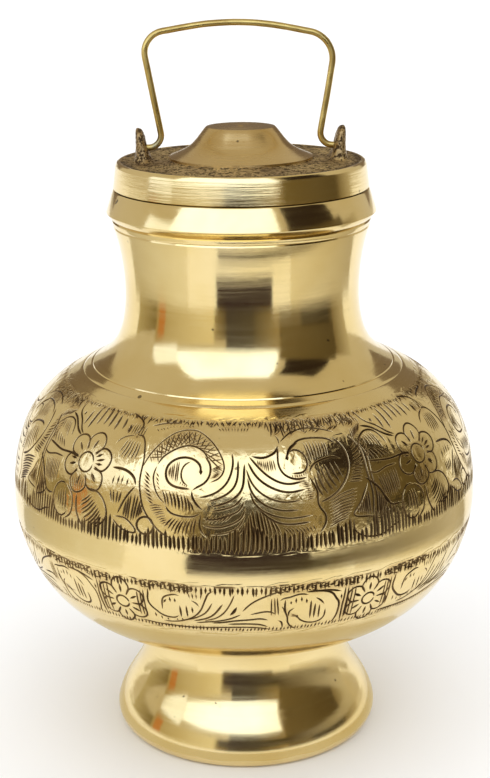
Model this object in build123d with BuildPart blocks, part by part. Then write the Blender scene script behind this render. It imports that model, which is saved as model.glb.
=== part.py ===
from build123d import *
import math
import os

# Brass kalash pot: a cast body on a flared foot, closed by a screwed lid with a wire bail.
# Millimetres, +Z up. The origin is the centre of the foot's bottom face, and the bail's
# hinge axis runs along X.

# Cast body
WALL = 1.6
BELLY_RADIUS = 57.5
BELLY_Z = 63.0                  # height of the widest ring, where the two halves meet
BOWL_FLOOR_RADIUS = 22.0
BOWL_FLOOR_Z = 29.2
LAP_HEIGHT = 2.5                # the lower half's tongue reaches this far inside the upper half
LAP_RADIUS = BELLY_RADIUS - 0.9
BEAD_RADIUS = 0.8               # brazing metal inside the belly joint

# Collar and threaded mouth
NECK_TOP_RADIUS = 30.9
NECK_TOP_Z = 129.4
COLLAR_GROOVE_RADIUS = 31.2
COLLAR_GROOVE_Z = 131.2
COLLAR_TIP_RADIUS = 32.5
COLLAR_TIP_Z = 133.0
COLLAR_TOP_RADIUS = 30.8
COLLAR_TOP_Z = 138.4
MOUTH_RADIUS = 25.0
MOUTH_TOP_Z = 142.0
SPIGOT_RADIUS = 26.8

# Foot
FOOT_SOLE_RADIUS = 31.2
FOOT_RIM_RADIUS = 32.9
FOOT_RIM_Z = 6.3
FOOT_TOP_RADIUS = 25.4
FOOT_TOP_Z = 30.6               # before its top edge is cut to the bowl
FOOT_WALL = 1.8
FOOT_FILLET = 1.7               # leg of the brazed fillet under the bowl
FOOT_FILLET_ARC = 2.2
BRAZE_SOAK = 0.15               # how deep the brazing metal wets into each casting

# Lid
LID_GAP = 0.25                  # seam between the collar and the lid's skirt
LID_SKIRT_RADIUS = 30.7
LID_RIM_RADIUS = 29.9
LID_RIM_Z = 145.0
LID_EDGE_ROUND = 0.8
LID_PLATE_UNDER_Z = 143.3
LID_BORE_RADIUS = 28.0
DOME_BASE_RADIUS = 17.2
DOME_STEP_Z = 145.3
DOME_BASE_Z = 145.9
DOME_TOP_RADIUS = 8.2
DOME_TOP_Z = 152.8
DOME_SAG = 0.7
DIMPLE_RADIUS = 0.7

# Screw thread between the mouth and the lid
THREAD_LEAD = 2.0
THREAD_DEPTH = 0.9
THREAD_ROOT_WIDTH = 1.1
THREAD_CREST_WIDTH = 0.5
MALE_START_Z = 139.1
MALE_HEIGHT = 2.2
FEMALE_START_Z = 139.3
FEMALE_HEIGHT = 2.1

# Sealing washer in the lid
WASHER_OUTER_RADIUS = 26.9
WASHER_INNER_RADIUS = 24.2
WASHER_GAP = 0.05

# Lugs and bail
LUG_OUTER_X = 25.0
LUG_BASE_THICKNESS = 3.6
LUG_TOP_THICKNESS = 1.7
LUG_BASE_WIDTH = 8.6
LUG_TOP_WIDTH = 5.4
LUG_TOP_Z = 152.7
LUG_ROOT_Z = 144.4
LUG_SHOULDER_ROUND = 2.2
LUG_EDGE_ROUND = 0.6
HINGE_Z = 148.0
WIRE_RADIUS = 0.76
HINGE_CLEARANCE = 0.08
PIN_END_X = LUG_OUTER_X - 0.5
BAIL_LEFT_FOOT_X = -18.3        # the bail was bent by hand: its two sides differ a little
BAIL_LEFT_CORNER = (-23.3, 174.3)
BAIL_CROWN = (0.6, 177.9)
BAIL_RIGHT_CORNER = (22.9, 173.3)
BAIL_RIGHT_FOOT_X = 18.5
BAIL_FOOT_BEND = 2.9
BAIL_BENDS = (BAIL_FOOT_BEND, 5.0, 70.0, 6.5, BAIL_FOOT_BEND)

# Outlines as (radius, height), from the flat of the bowl's floor up to the neck's top
BOWL_OUTLINE = [
    (BOWL_FLOOR_RADIUS, BOWL_FLOOR_Z),
    (40.2, 33.8),
    (49.4, 41.1),
    (55.7, 52.8),
    (BELLY_RADIUS, BELLY_Z),
]
SHOULDER_OUTLINE = [
    (BELLY_RADIUS, BELLY_Z),
    (56.5, 74.0),
    (52.7, 84.0),
    (45.3, 91.5),
    (37.7, 95.6),
    (32.0, 100.0),
    (29.1, 107.0),
    (28.5, 113.5),
    (29.4, 123.5),
    (NECK_TOP_RADIUS, NECK_TOP_Z),
]


def inset(curve, samples=10):
    """Points one wall thickness inside a curve that runs upwards."""
    points = []
    for i in range(samples + 1):
        tangent = curve % (i / samples)
        points.append(curve @ (i / samples) + Vector(-tangent.Y, tangent.X) * WALL)
    return points


def body_section():
    """Half section of the whole hollow body: bowl, shoulder, neck, collar and mouth."""
    with BuildSketch(Plane.XZ, mode=Mode.PRIVATE) as section:
        with BuildLine():
            Line((0, BOWL_FLOOR_Z), (BOWL_FLOOR_RADIUS, BOWL_FLOOR_Z))
            bowl = Spline(*BOWL_OUTLINE, tangents=((1, 0), (0, 1)))
            shoulder = Spline(*SHOULDER_OUTLINE, tangents=((0, 1), (0.35, 1)))
            Line(shoulder @ 1, inset(shoulder)[-1])
            inner_shoulder = Spline(*inset(shoulder), tangents=(shoulder % 0, shoulder % 1))
            inner_bowl = Spline(*inset(bowl), tangents=(bowl % 0, bowl % 1))
            Polyline(inner_bowl @ 0, (0, BOWL_FLOOR_Z + WALL), (0, BOWL_FLOOR_Z))
        make_face()
        with BuildLine():
            Polyline(
                (NECK_TOP_RADIUS - WALL, NECK_TOP_Z - 1.0),
                (NECK_TOP_RADIUS - 0.35, NECK_TOP_Z - 1.0),
                (NECK_TOP_RADIUS, NECK_TOP_Z),
                (COLLAR_GROOVE_RADIUS, COLLAR_GROOVE_Z),
                (COLLAR_TIP_RADIUS, COLLAR_TIP_Z),
                (COLLAR_TOP_RADIUS, COLLAR_TOP_Z),
                (SPIGOT_RADIUS, COLLAR_TOP_Z),
                (SPIGOT_RADIUS, MOUTH_TOP_Z),
                (MOUTH_RADIUS, MOUTH_TOP_Z),
                (MOUTH_RADIUS, COLLAR_GROOVE_Z + 4.0),
                close=True,
            )
        make_face()
    return section.sketch


def ring_section(points):
    """Closed polygon of (radius, height) corners, to be revolved about Z."""
    with BuildSketch(Plane.XZ, mode=Mode.PRIVATE) as section:
        with BuildLine():
            Polyline(*points, close=True)
        make_face()
    return section.sketch


def thread_ridge(root_radius, depth, start_z, height, start_angle):
    """One helical thread ridge. A negative depth makes it stand inwards from its root."""
    embed = math.copysign(0.15, depth)
    with BuildPart(mode=Mode.PRIVATE) as ridge:
        with BuildLine() as path:
            Helix(pitch=THREAD_LEAD, height=height, radius=root_radius, center=(0, 0, start_z))
        start = path.line @ 0
        with BuildSketch(Plane(origin=start, x_dir=(1, 0, 0), z_dir=path.line % 0)):
            with BuildLine():
                Polyline(
                    (-embed, -THREAD_ROOT_WIDTH / 2),
                    (depth, -THREAD_CREST_WIDTH / 2),
                    (depth, THREAD_CREST_WIDTH / 2),
                    (-embed, THREAD_ROOT_WIDTH / 2),
                    close=True,
                )
            make_face()
        sweep(path=path.line, is_frenet=True)
    return ridge.part.rotate(Axis.Z, start_angle)


# The two halves of the body share one wall section and meet at a half lap at the belly.
wall_section = body_section()
above_lap = ring_section([
    (LAP_RADIUS, BELLY_Z),
    (BELLY_RADIUS + 5, BELLY_Z),
    (BELLY_RADIUS + 5, MOUTH_TOP_Z + 5),
    (0, MOUTH_TOP_Z + 5),
    (0, BELLY_Z + LAP_HEIGHT),
    (LAP_RADIUS, BELLY_Z + LAP_HEIGHT),
])

with BuildPart() as lower_bowl:
    revolve(wall_section, axis=Axis.Z)
    revolve(above_lap, axis=Axis.Z, mode=Mode.SUBTRACT)
lower_bowl.part.label = "lower_bowl"

with BuildPart() as neck_and_shoulder:
    revolve(wall_section, axis=Axis.Z)
    revolve(above_lap, axis=Axis.Z, mode=Mode.INTERSECT)
    add(thread_ridge(SPIGOT_RADIUS, THREAD_DEPTH, MALE_START_Z, MALE_HEIGHT, 0))
neck_and_shoulder.part.label = "neck_and_shoulder"

# Bead of brazing metal left on the inside of the belly joint.
with BuildPart() as belly_braze:
    with BuildSketch(Plane.XZ):
        with Locations((BELLY_RADIUS - WALL, BELLY_Z + LAP_HEIGHT)):
            Circle(BEAD_RADIUS)
    revolve(axis=Axis.Z)
    add(lower_bowl.part, mode=Mode.SUBTRACT)
    add(neck_and_shoulder.part, mode=Mode.SUBTRACT)
belly_braze.part.label = "belly_braze"

# The foot is a hollow flared ring, cut on top to the bowl's underside.
with BuildPart(mode=Mode.PRIVATE) as bowl_underside:
    with BuildSketch(Plane.XZ):
        with BuildLine():
            Line((0, BOWL_FLOOR_Z), (BOWL_FLOOR_RADIUS, BOWL_FLOOR_Z))
            Spline(*BOWL_OUTLINE, tangents=((1, 0), (0, 1)))
            Line((BELLY_RADIUS, BELLY_Z), (0, BELLY_Z))
            Line((0, BELLY_Z), (0, BOWL_FLOOR_Z))
        make_face()
    revolve(axis=Axis.Z)

with BuildPart() as foot_ring:
    with BuildSketch(Plane.XZ):
        with BuildLine():
            Spline(
                (FOOT_SOLE_RADIUS, 0),
                (33.4, 3.0),
                (FOOT_RIM_RADIUS, FOOT_RIM_Z),
                tangents=((1, 0.4), (-0.35, 1)),
            )
            Spline(
                (FOOT_RIM_RADIUS, FOOT_RIM_Z),
                (30.9, 10.4),
                (28.0, 15.0),
                (25.9, 20.0),
                (25.0, 25.0),
                (FOOT_TOP_RADIUS, FOOT_TOP_Z),
            )
            Polyline(
                (FOOT_TOP_RADIUS, FOOT_TOP_Z),
                (FOOT_TOP_RADIUS - FOOT_WALL, FOOT_TOP_Z),
                (23.2, 25.0),
            )
            Spline(
                (23.2, 25.0),
                (24.1, 20.0),
                (26.3, 14.6),
                (29.2, 9.4),
                (30.6, 5.0),
                (FOOT_SOLE_RADIUS - FOOT_WALL, 0),
            )
            Line((FOOT_SOLE_RADIUS - FOOT_WALL, 0), (FOOT_SOLE_RADIUS, 0))
        make_face()
    revolve(axis=Axis.Z)
    add(bowl_underside.part, mode=Mode.SUBTRACT)
foot_ring.part.label = "foot_ring"

# Fillet of brazing metal in the corner between the bowl and the outside of the foot. Its
# hidden sides run BRAZE_SOAK deep into both castings.
fillet_foot = (FOOT_TOP_RADIUS - 0.2, BOWL_FLOOR_Z - FOOT_FILLET)
fillet_bowl = (FOOT_TOP_RADIUS + FOOT_FILLET, BOWL_FLOOR_Z + 0.25)
with BuildPart() as foot_braze:
    with BuildSketch(Plane.XZ):
        with BuildLine():
            RadiusArc(fillet_foot, fillet_bowl, FOOT_FILLET_ARC)
            Polyline(
                fillet_bowl,
                (fillet_bowl[0] - BRAZE_SOAK, fillet_bowl[1] + BRAZE_SOAK),
                (fillet_foot[0] - BRAZE_SOAK, BOWL_FLOOR_Z + 0.25),
                (fillet_foot[0] - BRAZE_SOAK, fillet_foot[1]),
                fillet_foot,
            )
        make_face()
    revolve(axis=Axis.Z)
foot_braze.part.label = "foot_braze"

# One lug: a cast ear with an upright outer face, a sloping inner face and rounded shoulders.
with BuildPart(mode=Mode.PRIVATE) as lug:
    with BuildSketch(Plane.XZ.offset(-LUG_BASE_WIDTH / 2)):
        with BuildLine():
            Polyline(
                (LUG_OUTER_X - LUG_BASE_THICKNESS, LUG_ROOT_Z),
                (LUG_OUTER_X, LUG_ROOT_Z),
                (LUG_OUTER_X, LUG_TOP_Z),
                (LUG_OUTER_X - LUG_TOP_THICKNESS, LUG_TOP_Z),
                close=True,
            )
        make_face()
    extrude(amount=LUG_BASE_WIDTH)
    with BuildSketch(Plane.YZ.offset(LUG_OUTER_X + 5)):
        with BuildLine():
            Polyline(
                (-LUG_BASE_WIDTH / 2, LUG_ROOT_Z),
                (LUG_BASE_WIDTH / 2, LUG_ROOT_Z),
                (LUG_TOP_WIDTH / 2, LUG_TOP_Z),
                (-LUG_TOP_WIDTH / 2, LUG_TOP_Z),
                close=True,
            )
        lug_face = make_face()
        fillet(lug_face.vertices().group_by(Axis.Y)[-1], radius=LUG_SHOULDER_ROUND)
    extrude(amount=-(LUG_OUTER_X + 5), mode=Mode.INTERSECT)
    fillet(lug.edges().filter_by(GeomType.LINE).group_by(Axis.Z)[-1], radius=LUG_EDGE_ROUND)
    with BuildSketch(Plane.YZ.offset(LUG_OUTER_X + 5)):
        with Locations((0, HINGE_Z)):
            Circle(WIRE_RADIUS + HINGE_CLEARANCE)
    extrude(amount=-(LUG_OUTER_X + 5), mode=Mode.SUBTRACT)

# The lid is one casting: skirt, plate, dome and the two lugs.
skirt_bottom_z = COLLAR_TOP_Z + LID_GAP
dome_chord = math.hypot(DOME_BASE_RADIUS - DOME_TOP_RADIUS, DOME_TOP_Z - DOME_BASE_Z)
dome_middle = (
    (DOME_BASE_RADIUS + DOME_TOP_RADIUS) / 2 - DOME_SAG * (DOME_TOP_Z - DOME_BASE_Z) / dome_chord,
    (DOME_BASE_Z + DOME_TOP_Z) / 2 - DOME_SAG * (DOME_BASE_RADIUS - DOME_TOP_RADIUS) / dome_chord,
)
female_turn = 360 * (FEMALE_START_Z - MALE_START_Z - THREAD_LEAD / 2) / THREAD_LEAD

with BuildPart() as lid:
    with BuildSketch(Plane.XZ) as lid_section:
        with BuildLine():
            Polyline(
                (0, DOME_TOP_Z - WALL),
                (DOME_TOP_RADIUS - 1.1, DOME_TOP_Z - WALL),
                (DOME_BASE_RADIUS - 2.3, LID_PLATE_UNDER_Z),
                (LID_BORE_RADIUS, LID_PLATE_UNDER_Z),
                (LID_BORE_RADIUS, skirt_bottom_z),
                (LID_SKIRT_RADIUS, skirt_bottom_z),
                (LID_RIM_RADIUS, LID_RIM_Z),
                (DOME_BASE_RADIUS, DOME_STEP_Z),
                (DOME_BASE_RADIUS, DOME_BASE_Z),
            )
            ThreePointArc((DOME_BASE_RADIUS, DOME_BASE_Z), dome_middle, (DOME_TOP_RADIUS, DOME_TOP_Z))
            Polyline((DOME_TOP_RADIUS, DOME_TOP_Z), (0, DOME_TOP_Z), (0, DOME_TOP_Z - WALL))
        make_face()
        rim_corner = lid_section.vertices().sort_by_distance((LID_RIM_RADIUS, LID_RIM_Z, 0))[0]
        fillet(rim_corner, radius=LID_EDGE_ROUND)
    revolve(axis=Axis.Z)
    with Locations((0, 0, DOME_TOP_Z + 0.3)):
        Sphere(DIMPLE_RADIUS, mode=Mode.SUBTRACT)
    add(lug.part)
    add(lug.part.mirror(Plane.YZ))
    add(thread_ridge(LID_BORE_RADIUS, -THREAD_DEPTH, FEMALE_START_Z, FEMALE_HEIGHT, female_turn))
lid.part.label = "lid"

# Flat sealing washer, held in the lid's recess above the mouth.
with BuildPart() as lid_washer:
    with BuildSketch(Plane.XY.offset(MOUTH_TOP_Z + WASHER_GAP)):
        Circle(WASHER_OUTER_RADIUS)
        Circle(WASHER_INNER_RADIUS, mode=Mode.SUBTRACT)
    extrude(amount=LID_PLATE_UNDER_Z - MOUTH_TOP_Z - 2 * WASHER_GAP)
lid_washer.part.label = "lid_washer"

# The bail is one bent wire. Its two straight ends turn in the lugs' holes.
with BuildPart() as bail_handle:
    with BuildLine(Plane.XZ) as bail_line:
        FilletPolyline(
            (-PIN_END_X, HINGE_Z),
            (BAIL_LEFT_FOOT_X, HINGE_Z),
            BAIL_LEFT_CORNER,
            BAIL_CROWN,
            BAIL_RIGHT_CORNER,
            (BAIL_RIGHT_FOOT_X, HINGE_Z),
            (PIN_END_X, HINGE_Z),
            radius=BAIL_BENDS,
        )
    with BuildSketch(Plane(origin=bail_line.line @ 0, z_dir=bail_line.line % 0)):
        Circle(WIRE_RADIUS)
    sweep(path=bail_line.line)
bail_handle.part.label = "bail_handle"

os.makedirs("parts", exist_ok=True)
pieces = (
    lower_bowl,
    neck_and_shoulder,
    belly_braze,
    foot_ring,
    foot_braze,
    lid,
    lid_washer,
    bail_handle,
)
for piece in pieces:
    export_step(piece.part, f"parts/{piece.part.label}.step")
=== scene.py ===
import math
import random

import bmesh
import bpy
import numpy as np
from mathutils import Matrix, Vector, kdtree, noise
from mathutils.geometry import delaunay_2d_cdt


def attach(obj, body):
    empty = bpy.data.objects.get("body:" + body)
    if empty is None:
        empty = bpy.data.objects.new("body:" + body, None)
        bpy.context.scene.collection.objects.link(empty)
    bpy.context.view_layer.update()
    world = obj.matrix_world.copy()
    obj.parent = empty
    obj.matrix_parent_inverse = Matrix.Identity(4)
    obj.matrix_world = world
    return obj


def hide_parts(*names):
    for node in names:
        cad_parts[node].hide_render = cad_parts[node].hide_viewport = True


# Brass kalash pot: turned and engraved body, foot, screw lid with cast lugs, and wire bail.
# Outlines are (radius, height) in millimetres, as in the CAD source, and meshes are in metres.
# Sizes are in millimetres and angles in degrees, unless a comment says otherwise.

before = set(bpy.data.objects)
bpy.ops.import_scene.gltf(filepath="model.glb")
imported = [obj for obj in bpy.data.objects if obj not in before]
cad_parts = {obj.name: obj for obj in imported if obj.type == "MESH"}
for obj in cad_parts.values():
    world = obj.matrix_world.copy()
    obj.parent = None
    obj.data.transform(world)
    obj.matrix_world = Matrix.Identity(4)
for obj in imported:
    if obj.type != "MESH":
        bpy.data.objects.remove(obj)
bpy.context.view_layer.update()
dice = random.Random(11)
noise.seed_set(11)              # without this, noise_vector starts from the clock

MM = 0.001
SEGMENTS = 180                  # round the axis, on plain turned pieces
JOIN_GAP = 0.05                 # outline points nearer than this to an added one are dropped

# Body
WALL = 1.6
BELLY_Z = 63.0
LAP_RADIUS = 56.6
LAP_TOP_Z = 65.5
BOWL_FLOOR_RADIUS = 22.0
BOWL_FLOOR_Z = 29.2
BOWL_OUTLINE = [(22.0, 29.2), (40.2, 33.8), (49.4, 41.1), (55.7, 52.8), (57.5, 63.0)]
SHOULDER_OUTLINE = [
    (57.5, 63.0), (56.5, 74.0), (52.7, 84.0), (45.3, 91.5), (37.7, 95.6),
    (32.0, 100.0), (29.1, 107.0), (28.5, 113.5), (29.4, 123.5), (30.9, 129.4),
]
SHOULDER_LINES = ((95.9, 0.16, 0.55), (94.7, 0.08, 0.4))    # height, depth and width of turned lines
MOUTH_RADIUS = 25.0
MOUTH_TOP_Z = 142.0
MOUTH_CHAMFER = 0.3
SPIGOT_RADIUS = 26.8
COLLAR_TOP_Z = 138.4
COLLAR_OUTLINE = [
    (30.75, 129.75), (31.0, 130.1), (31.15, 130.9), (30.9, 131.2), (31.3, 131.55),
    (32.42, 132.85), (32.5, 133.05), (32.42, 133.25), (30.85, 138.1), (30.6, 138.35),
]
NECK_INNER_OUTLINE = [(MOUTH_RADIUS, 135.2), (29.3, 128.2)]
NECK_INNER_TOP_Z = 127.5        # above this the inside follows NECK_INNER_OUTLINE
TONGUE_INNER_RADIUS = 55.75

# Foot
FOOT_RIM_OUTLINE = [(31.2, 0.0), (33.4, 3.0), (32.9, 6.3)]
FOOT_FLARE_OUTLINE = [(32.9, 6.3), (30.9, 10.4), (28.0, 15.0), (25.9, 20.0), (25.0, 25.0), (25.4, 29.3)]
FOOT_INNER_OUTLINE = [
    (23.6, 29.2), (23.2, 25.0), (24.1, 20.0), (26.3, 14.6), (29.2, 9.4), (30.6, 5.0), (29.4, 0.0),
]

# Engraved bands, by the height of their lower and upper edges
UPPER_BAND = (66.4, 93.0)
UPPER_REPEATS = 4
UPPER_RADIUS = 55.0             # at which a degree of the pattern has its true length
LOWER_BAND = (46.0, 59.3)
LOWER_REPEATS = 6
LOWER_RADIUS = 56.0
BAND_COLUMNS = 144
PATTERN_TURN = 2.7              # turns the patterns' zero towards the camera
GROOVE_DEPTH = 0.18             # of a cut GROOVE_WIDTH wide: wider ones are deeper in proportion
GROOVE_DEEPEST = 2.0             # the most that any cut is, in GROOVE_DEPTHs
GROOVE_WIDTH = 0.46
HATCH_CLOSENESS = 1.12          # shading cuts are closer and finer than they are drawn
HATCH_FINENESS = 0.78
HATCH_WIDEST = 0.48
CUT_SWELL = 1.15                # how much wider the graver cut than the strokes are drawn
WANDER = 0.22                   # how far the hand strays from the drawing
WANDER_FINENESS = 0.16
BAND_MARGIN = 0.35              # cuts stay this far inside the band's edges
SAMPLE_STEP = 0.12              # between the places along a cut that depth is measured from
CROWDED = 40                    # samples near a place where cuts stand very close

# Screw thread
THREAD_LEAD = 2.0
THREAD_DEPTH = 0.9
THREAD_ROOT = 1.1
THREAD_CREST = 0.5
MALE_START_Z = 139.1
MALE_HEIGHT = 2.2
FEMALE_START_Z = 139.3
FEMALE_HEIGHT = 2.1
LID_BORE_RADIUS = 28.0

# Lid
SKIRT_RADIUS = 30.7
SKIRT_Z = 138.65
RIM_OUTLINE = [(30.05, 143.9), (29.95, 144.3), (29.6, 144.8), (29.2, 145.0)]
LID_SEAT_Z = 143.3              # the flat inside, which presses on the washer
LID_SEGMENTS = 300
CAST_OUTER_RADIUS = 28.7        # the rough ring lies between the rim's bevel and the dome
CAST_Z = 144.95
DOME_RADIUS = 17.2
DOME_STEP_Z = 145.3
DOME_BASE_Z = 145.9
DOME_TOP_RADIUS = 8.2
DOME_TOP_Z = 152.8
DOME_SAG = 1.15                 # how far the flank is hollowed

# Lugs and bail
LUG_OUTER_X = 25.0
LUG_BOTTOM_Z = 144.6
LUG_TOP_Z = 152.7
LUG_THICK = (3.6, 1.7)          # across X, at the root and at the top
LUG_WIDE = (8.4, 5.4)           # along Y, at the root and at the top
LUG_ROUND_FROM = 0.80           # the share of its height where the top begins to round
HINGE_Z = 148.0
WIRE_RADIUS = 0.76
HOLE_RADIUS = 0.84
BAIL_CORNERS = [
    (-24.5, 148.0), (-18.3, 148.0), (-23.3, 174.3), (0.6, 177.9),
    (22.9, 173.3), (18.5, 148.0), (24.5, 148.0),
]
BAIL_BENDS = (2.9, 5.0, 70.0, 6.5, 2.9)
BAIL_STEP = 0.55
BAIL_WAVER = 0.22

# Camera, about the pot's axis
VIEW_TURN = 2.7                 # the left lug is a little nearer than the right one
VIEW_ROLL = 0.53
VIEW_YAW = 0.225                # the camera aims a little to the right of the axis
VIEW_PITCH = 16.35
CAMERA_REACH = 0.378            # metres, as is the height
CAMERA_HEIGHT = 0.1985
FOCAL_PIXELS = 1580.0           # for a picture 778 high
PICTURE_HEIGHT = 778
SENSOR_WIDTH = 36.0

# Studio, in metres
FLOOR_HALF = 20.0
DOME_REACH = 0.46               # curved cards stand on a sphere of this size round the pot
DOME_HEIGHT = 0.10
FLOOR_CARD_Z = 0.001
SUN_SPREAD = 70                 # degrees: very wide suns cast soft shadows


# ---------------------------------------------------------------- outlines

def unit(vector):
    vector = np.array(vector, float)
    return vector / np.linalg.norm(vector)


def smooth_outline(points, start, end, step=1.0):
    """Clamped cubic spline through points, leaving and arriving along the given directions."""
    p = np.array(points, float)
    t = np.concatenate(([0.0], np.cumsum(np.linalg.norm(np.diff(p, axis=0), axis=1))))
    h = np.diff(t)
    count = len(p)
    matrix = np.zeros((count, count))
    known = np.zeros((count, p.shape[1]))
    matrix[0, 0] = matrix[-1, -1] = 1.0
    known[0], known[-1] = unit(start), unit(end)
    for i in range(1, count - 1):
        matrix[i, i - 1:i + 2] = h[i], 2 * (h[i - 1] + h[i]), h[i - 1]
        known[i] = 3 * (h[i] / h[i - 1] * (p[i] - p[i - 1]) + h[i - 1] / h[i] * (p[i + 1] - p[i]))
    slope = np.linalg.solve(matrix, known)
    out = []
    for i in range(count - 1):
        pieces = max(1, round(h[i] / step))
        for k in range(pieces):
            out.append(hermite(p[i], p[i + 1], slope[i] * h[i], slope[i + 1] * h[i], k / pieces))
    out.append(p[-1])
    return np.array(out)


def hermite(a, b, slope_a, slope_b, u):
    u2, u3 = u * u, u * u * u
    return (
        (2 * u3 - 3 * u2 + 1) * a
        + (u3 - 2 * u2 + u) * slope_a
        + (3 * u2 - 2 * u3) * b
        + (u3 - u2) * slope_b
    )


def rounded(corners, radii, steps=5):
    """A polyline whose inner corners are rounded by arcs of the given radii."""
    path = [np.array(corners[0], float)]
    for before, corner, after, radius in zip(corners, corners[1:], corners[2:], radii):
        corner = np.array(corner, float)
        back, ahead = unit(np.subtract(before, corner)), unit(np.subtract(after, corner))
        half = math.acos(np.clip(back @ ahead, -1, 1)) / 2
        if radius <= 0 or half > math.pi / 2 - 1e-4:
            path.append(corner)
            continue
        centre = corner + unit(back + ahead) * radius / math.sin(half)
        first = corner + back * radius / math.tan(half) - centre
        last = corner + ahead * radius / math.tan(half) - centre
        sweep = math.acos(np.clip(unit(first) @ unit(last), -1, 1))
        count = max(steps, int(sweep * radius / 0.8))
        for k in range(count + 1):
            share = k / count
            mix = math.sin((1 - share) * sweep) * first + math.sin(share * sweep) * last
            path.append(centre + mix / math.sin(sweep))
    path.append(np.array(corners[-1], float))
    return np.array(path)


def inset(outline, distance=WALL):
    """The outline moved inwards, towards the axis."""
    tangent = np.gradient(outline, axis=0)
    tangent /= np.linalg.norm(tangent, axis=1)[:, None]
    return outline + np.stack([-tangent[:, 1], tangent[:, 0]], axis=1) * distance


def scored(outline, lines):
    """The outline with fine V-shaped lines cut in it, each at a height."""
    made = np.array(outline)
    for height, depth, width in lines:
        run = arc_length(made)
        middle = np.interp(height, made[:, 1], run)
        tangent = np.gradient(made, axis=0)
        slope = unit([np.interp(middle, run, tangent[:, k]) for k in (0, 1)])
        start, end = middle - width / 2, middle + width / 2
        cut = []
        for place, deep in ((start, 0.0), (middle, depth), (end, 0.0)):
            at = np.array([np.interp(place, run, made[:, k]) for k in (0, 1)])
            cut.append(at + np.array([-slope[1], slope[0]]) * deep)
        made = np.concatenate([made[run < start - JOIN_GAP], cut, made[run > end + JOIN_GAP]])
    return made


def arc_length(outline):
    return np.concatenate(([0.0], np.cumsum(np.linalg.norm(np.diff(outline, axis=0), axis=1))))


# ---------------------------------------------------------------- mesh helpers

def new_object(name, vertices, faces):
    mesh = bpy.data.meshes.new(name)
    mesh.from_pydata([tuple(v) for v in vertices], [], faces)
    made = bpy.data.objects.new(name, mesh)
    bpy.context.scene.collection.objects.link(made)
    return made


def turned(outline, segments=SEGMENTS, close=True):
    """Vertices and faces of a surface of revolution about Z."""
    count = len(outline)
    vertices, faces = [], []
    for k in range(segments):
        angle = 2 * math.pi * k / segments
        c, s = math.cos(angle) * MM, math.sin(angle) * MM
        vertices.extend((r * c, r * s, z * MM) for r, z in outline)
    rows = count if close else count - 1
    for k in range(segments):
        a, b = k * count, (k + 1) % segments * count
        for i in range(rows):
            j = (i + 1) % count
            faces.append((a + i, a + j, b + j, b + i))
    return vertices, faces


def thread(radius, depth, start_z, height, start_turn):
    """A helical ridge with closed ends. A negative depth makes it stand inwards."""
    steps = int(height / THREAD_LEAD * 72)
    sunk = math.copysign(0.15, depth)
    section = [
        (-sunk, -THREAD_ROOT / 2), (depth, -THREAD_CREST / 2),
        (depth, THREAD_CREST / 2), (-sunk, THREAD_ROOT / 2),
    ]
    vertices, faces = [], []
    for k in range(steps + 1):
        angle = math.radians(start_turn) + 2 * math.pi * height / THREAD_LEAD * k / steps
        for out, up in section:
            r, z = radius + out, start_z + height * k / steps + up
            vertices.append((r * math.cos(angle) * MM, r * math.sin(angle) * MM, z * MM))
    for k in range(steps):
        for i in range(4):
            j = (i + 1) % 4
            faces.append((4 * k + i, 4 * k + j, 4 * k + 4 + j, 4 * k + 4 + i))
    last = 4 * steps
    faces += [(3, 2, 1, 0), (last, last + 1, last + 2, last + 3)]
    return vertices, faces


def joined(*parts):
    """Several (vertices, faces) as one."""
    vertices, faces = [], []
    for more_vertices, more_faces in parts:
        base = len(vertices)
        vertices += list(more_vertices)
        faces += [tuple(i + base for i in face) for face in more_faces]
    return vertices, faces


def tidy(piece, sharp=28.0, merge=1e-7):
    """Merges doubled vertices, points the faces outwards and shades smooth between sharp edges."""
    mesh = bmesh.new()
    mesh.from_mesh(piece.data)
    bmesh.ops.remove_doubles(mesh, verts=mesh.verts, dist=merge)
    bmesh.ops.dissolve_degenerate(mesh, edges=mesh.edges, dist=merge)
    bmesh.ops.recalc_face_normals(mesh, faces=mesh.faces)
    mesh.to_mesh(piece.data)
    mesh.free()
    piece.data.shade_smooth()
    piece.data.set_sharp_from_angle(angle=math.radians(sharp))


# ---------------------------------------------------------------- engraver's strokes

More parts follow.
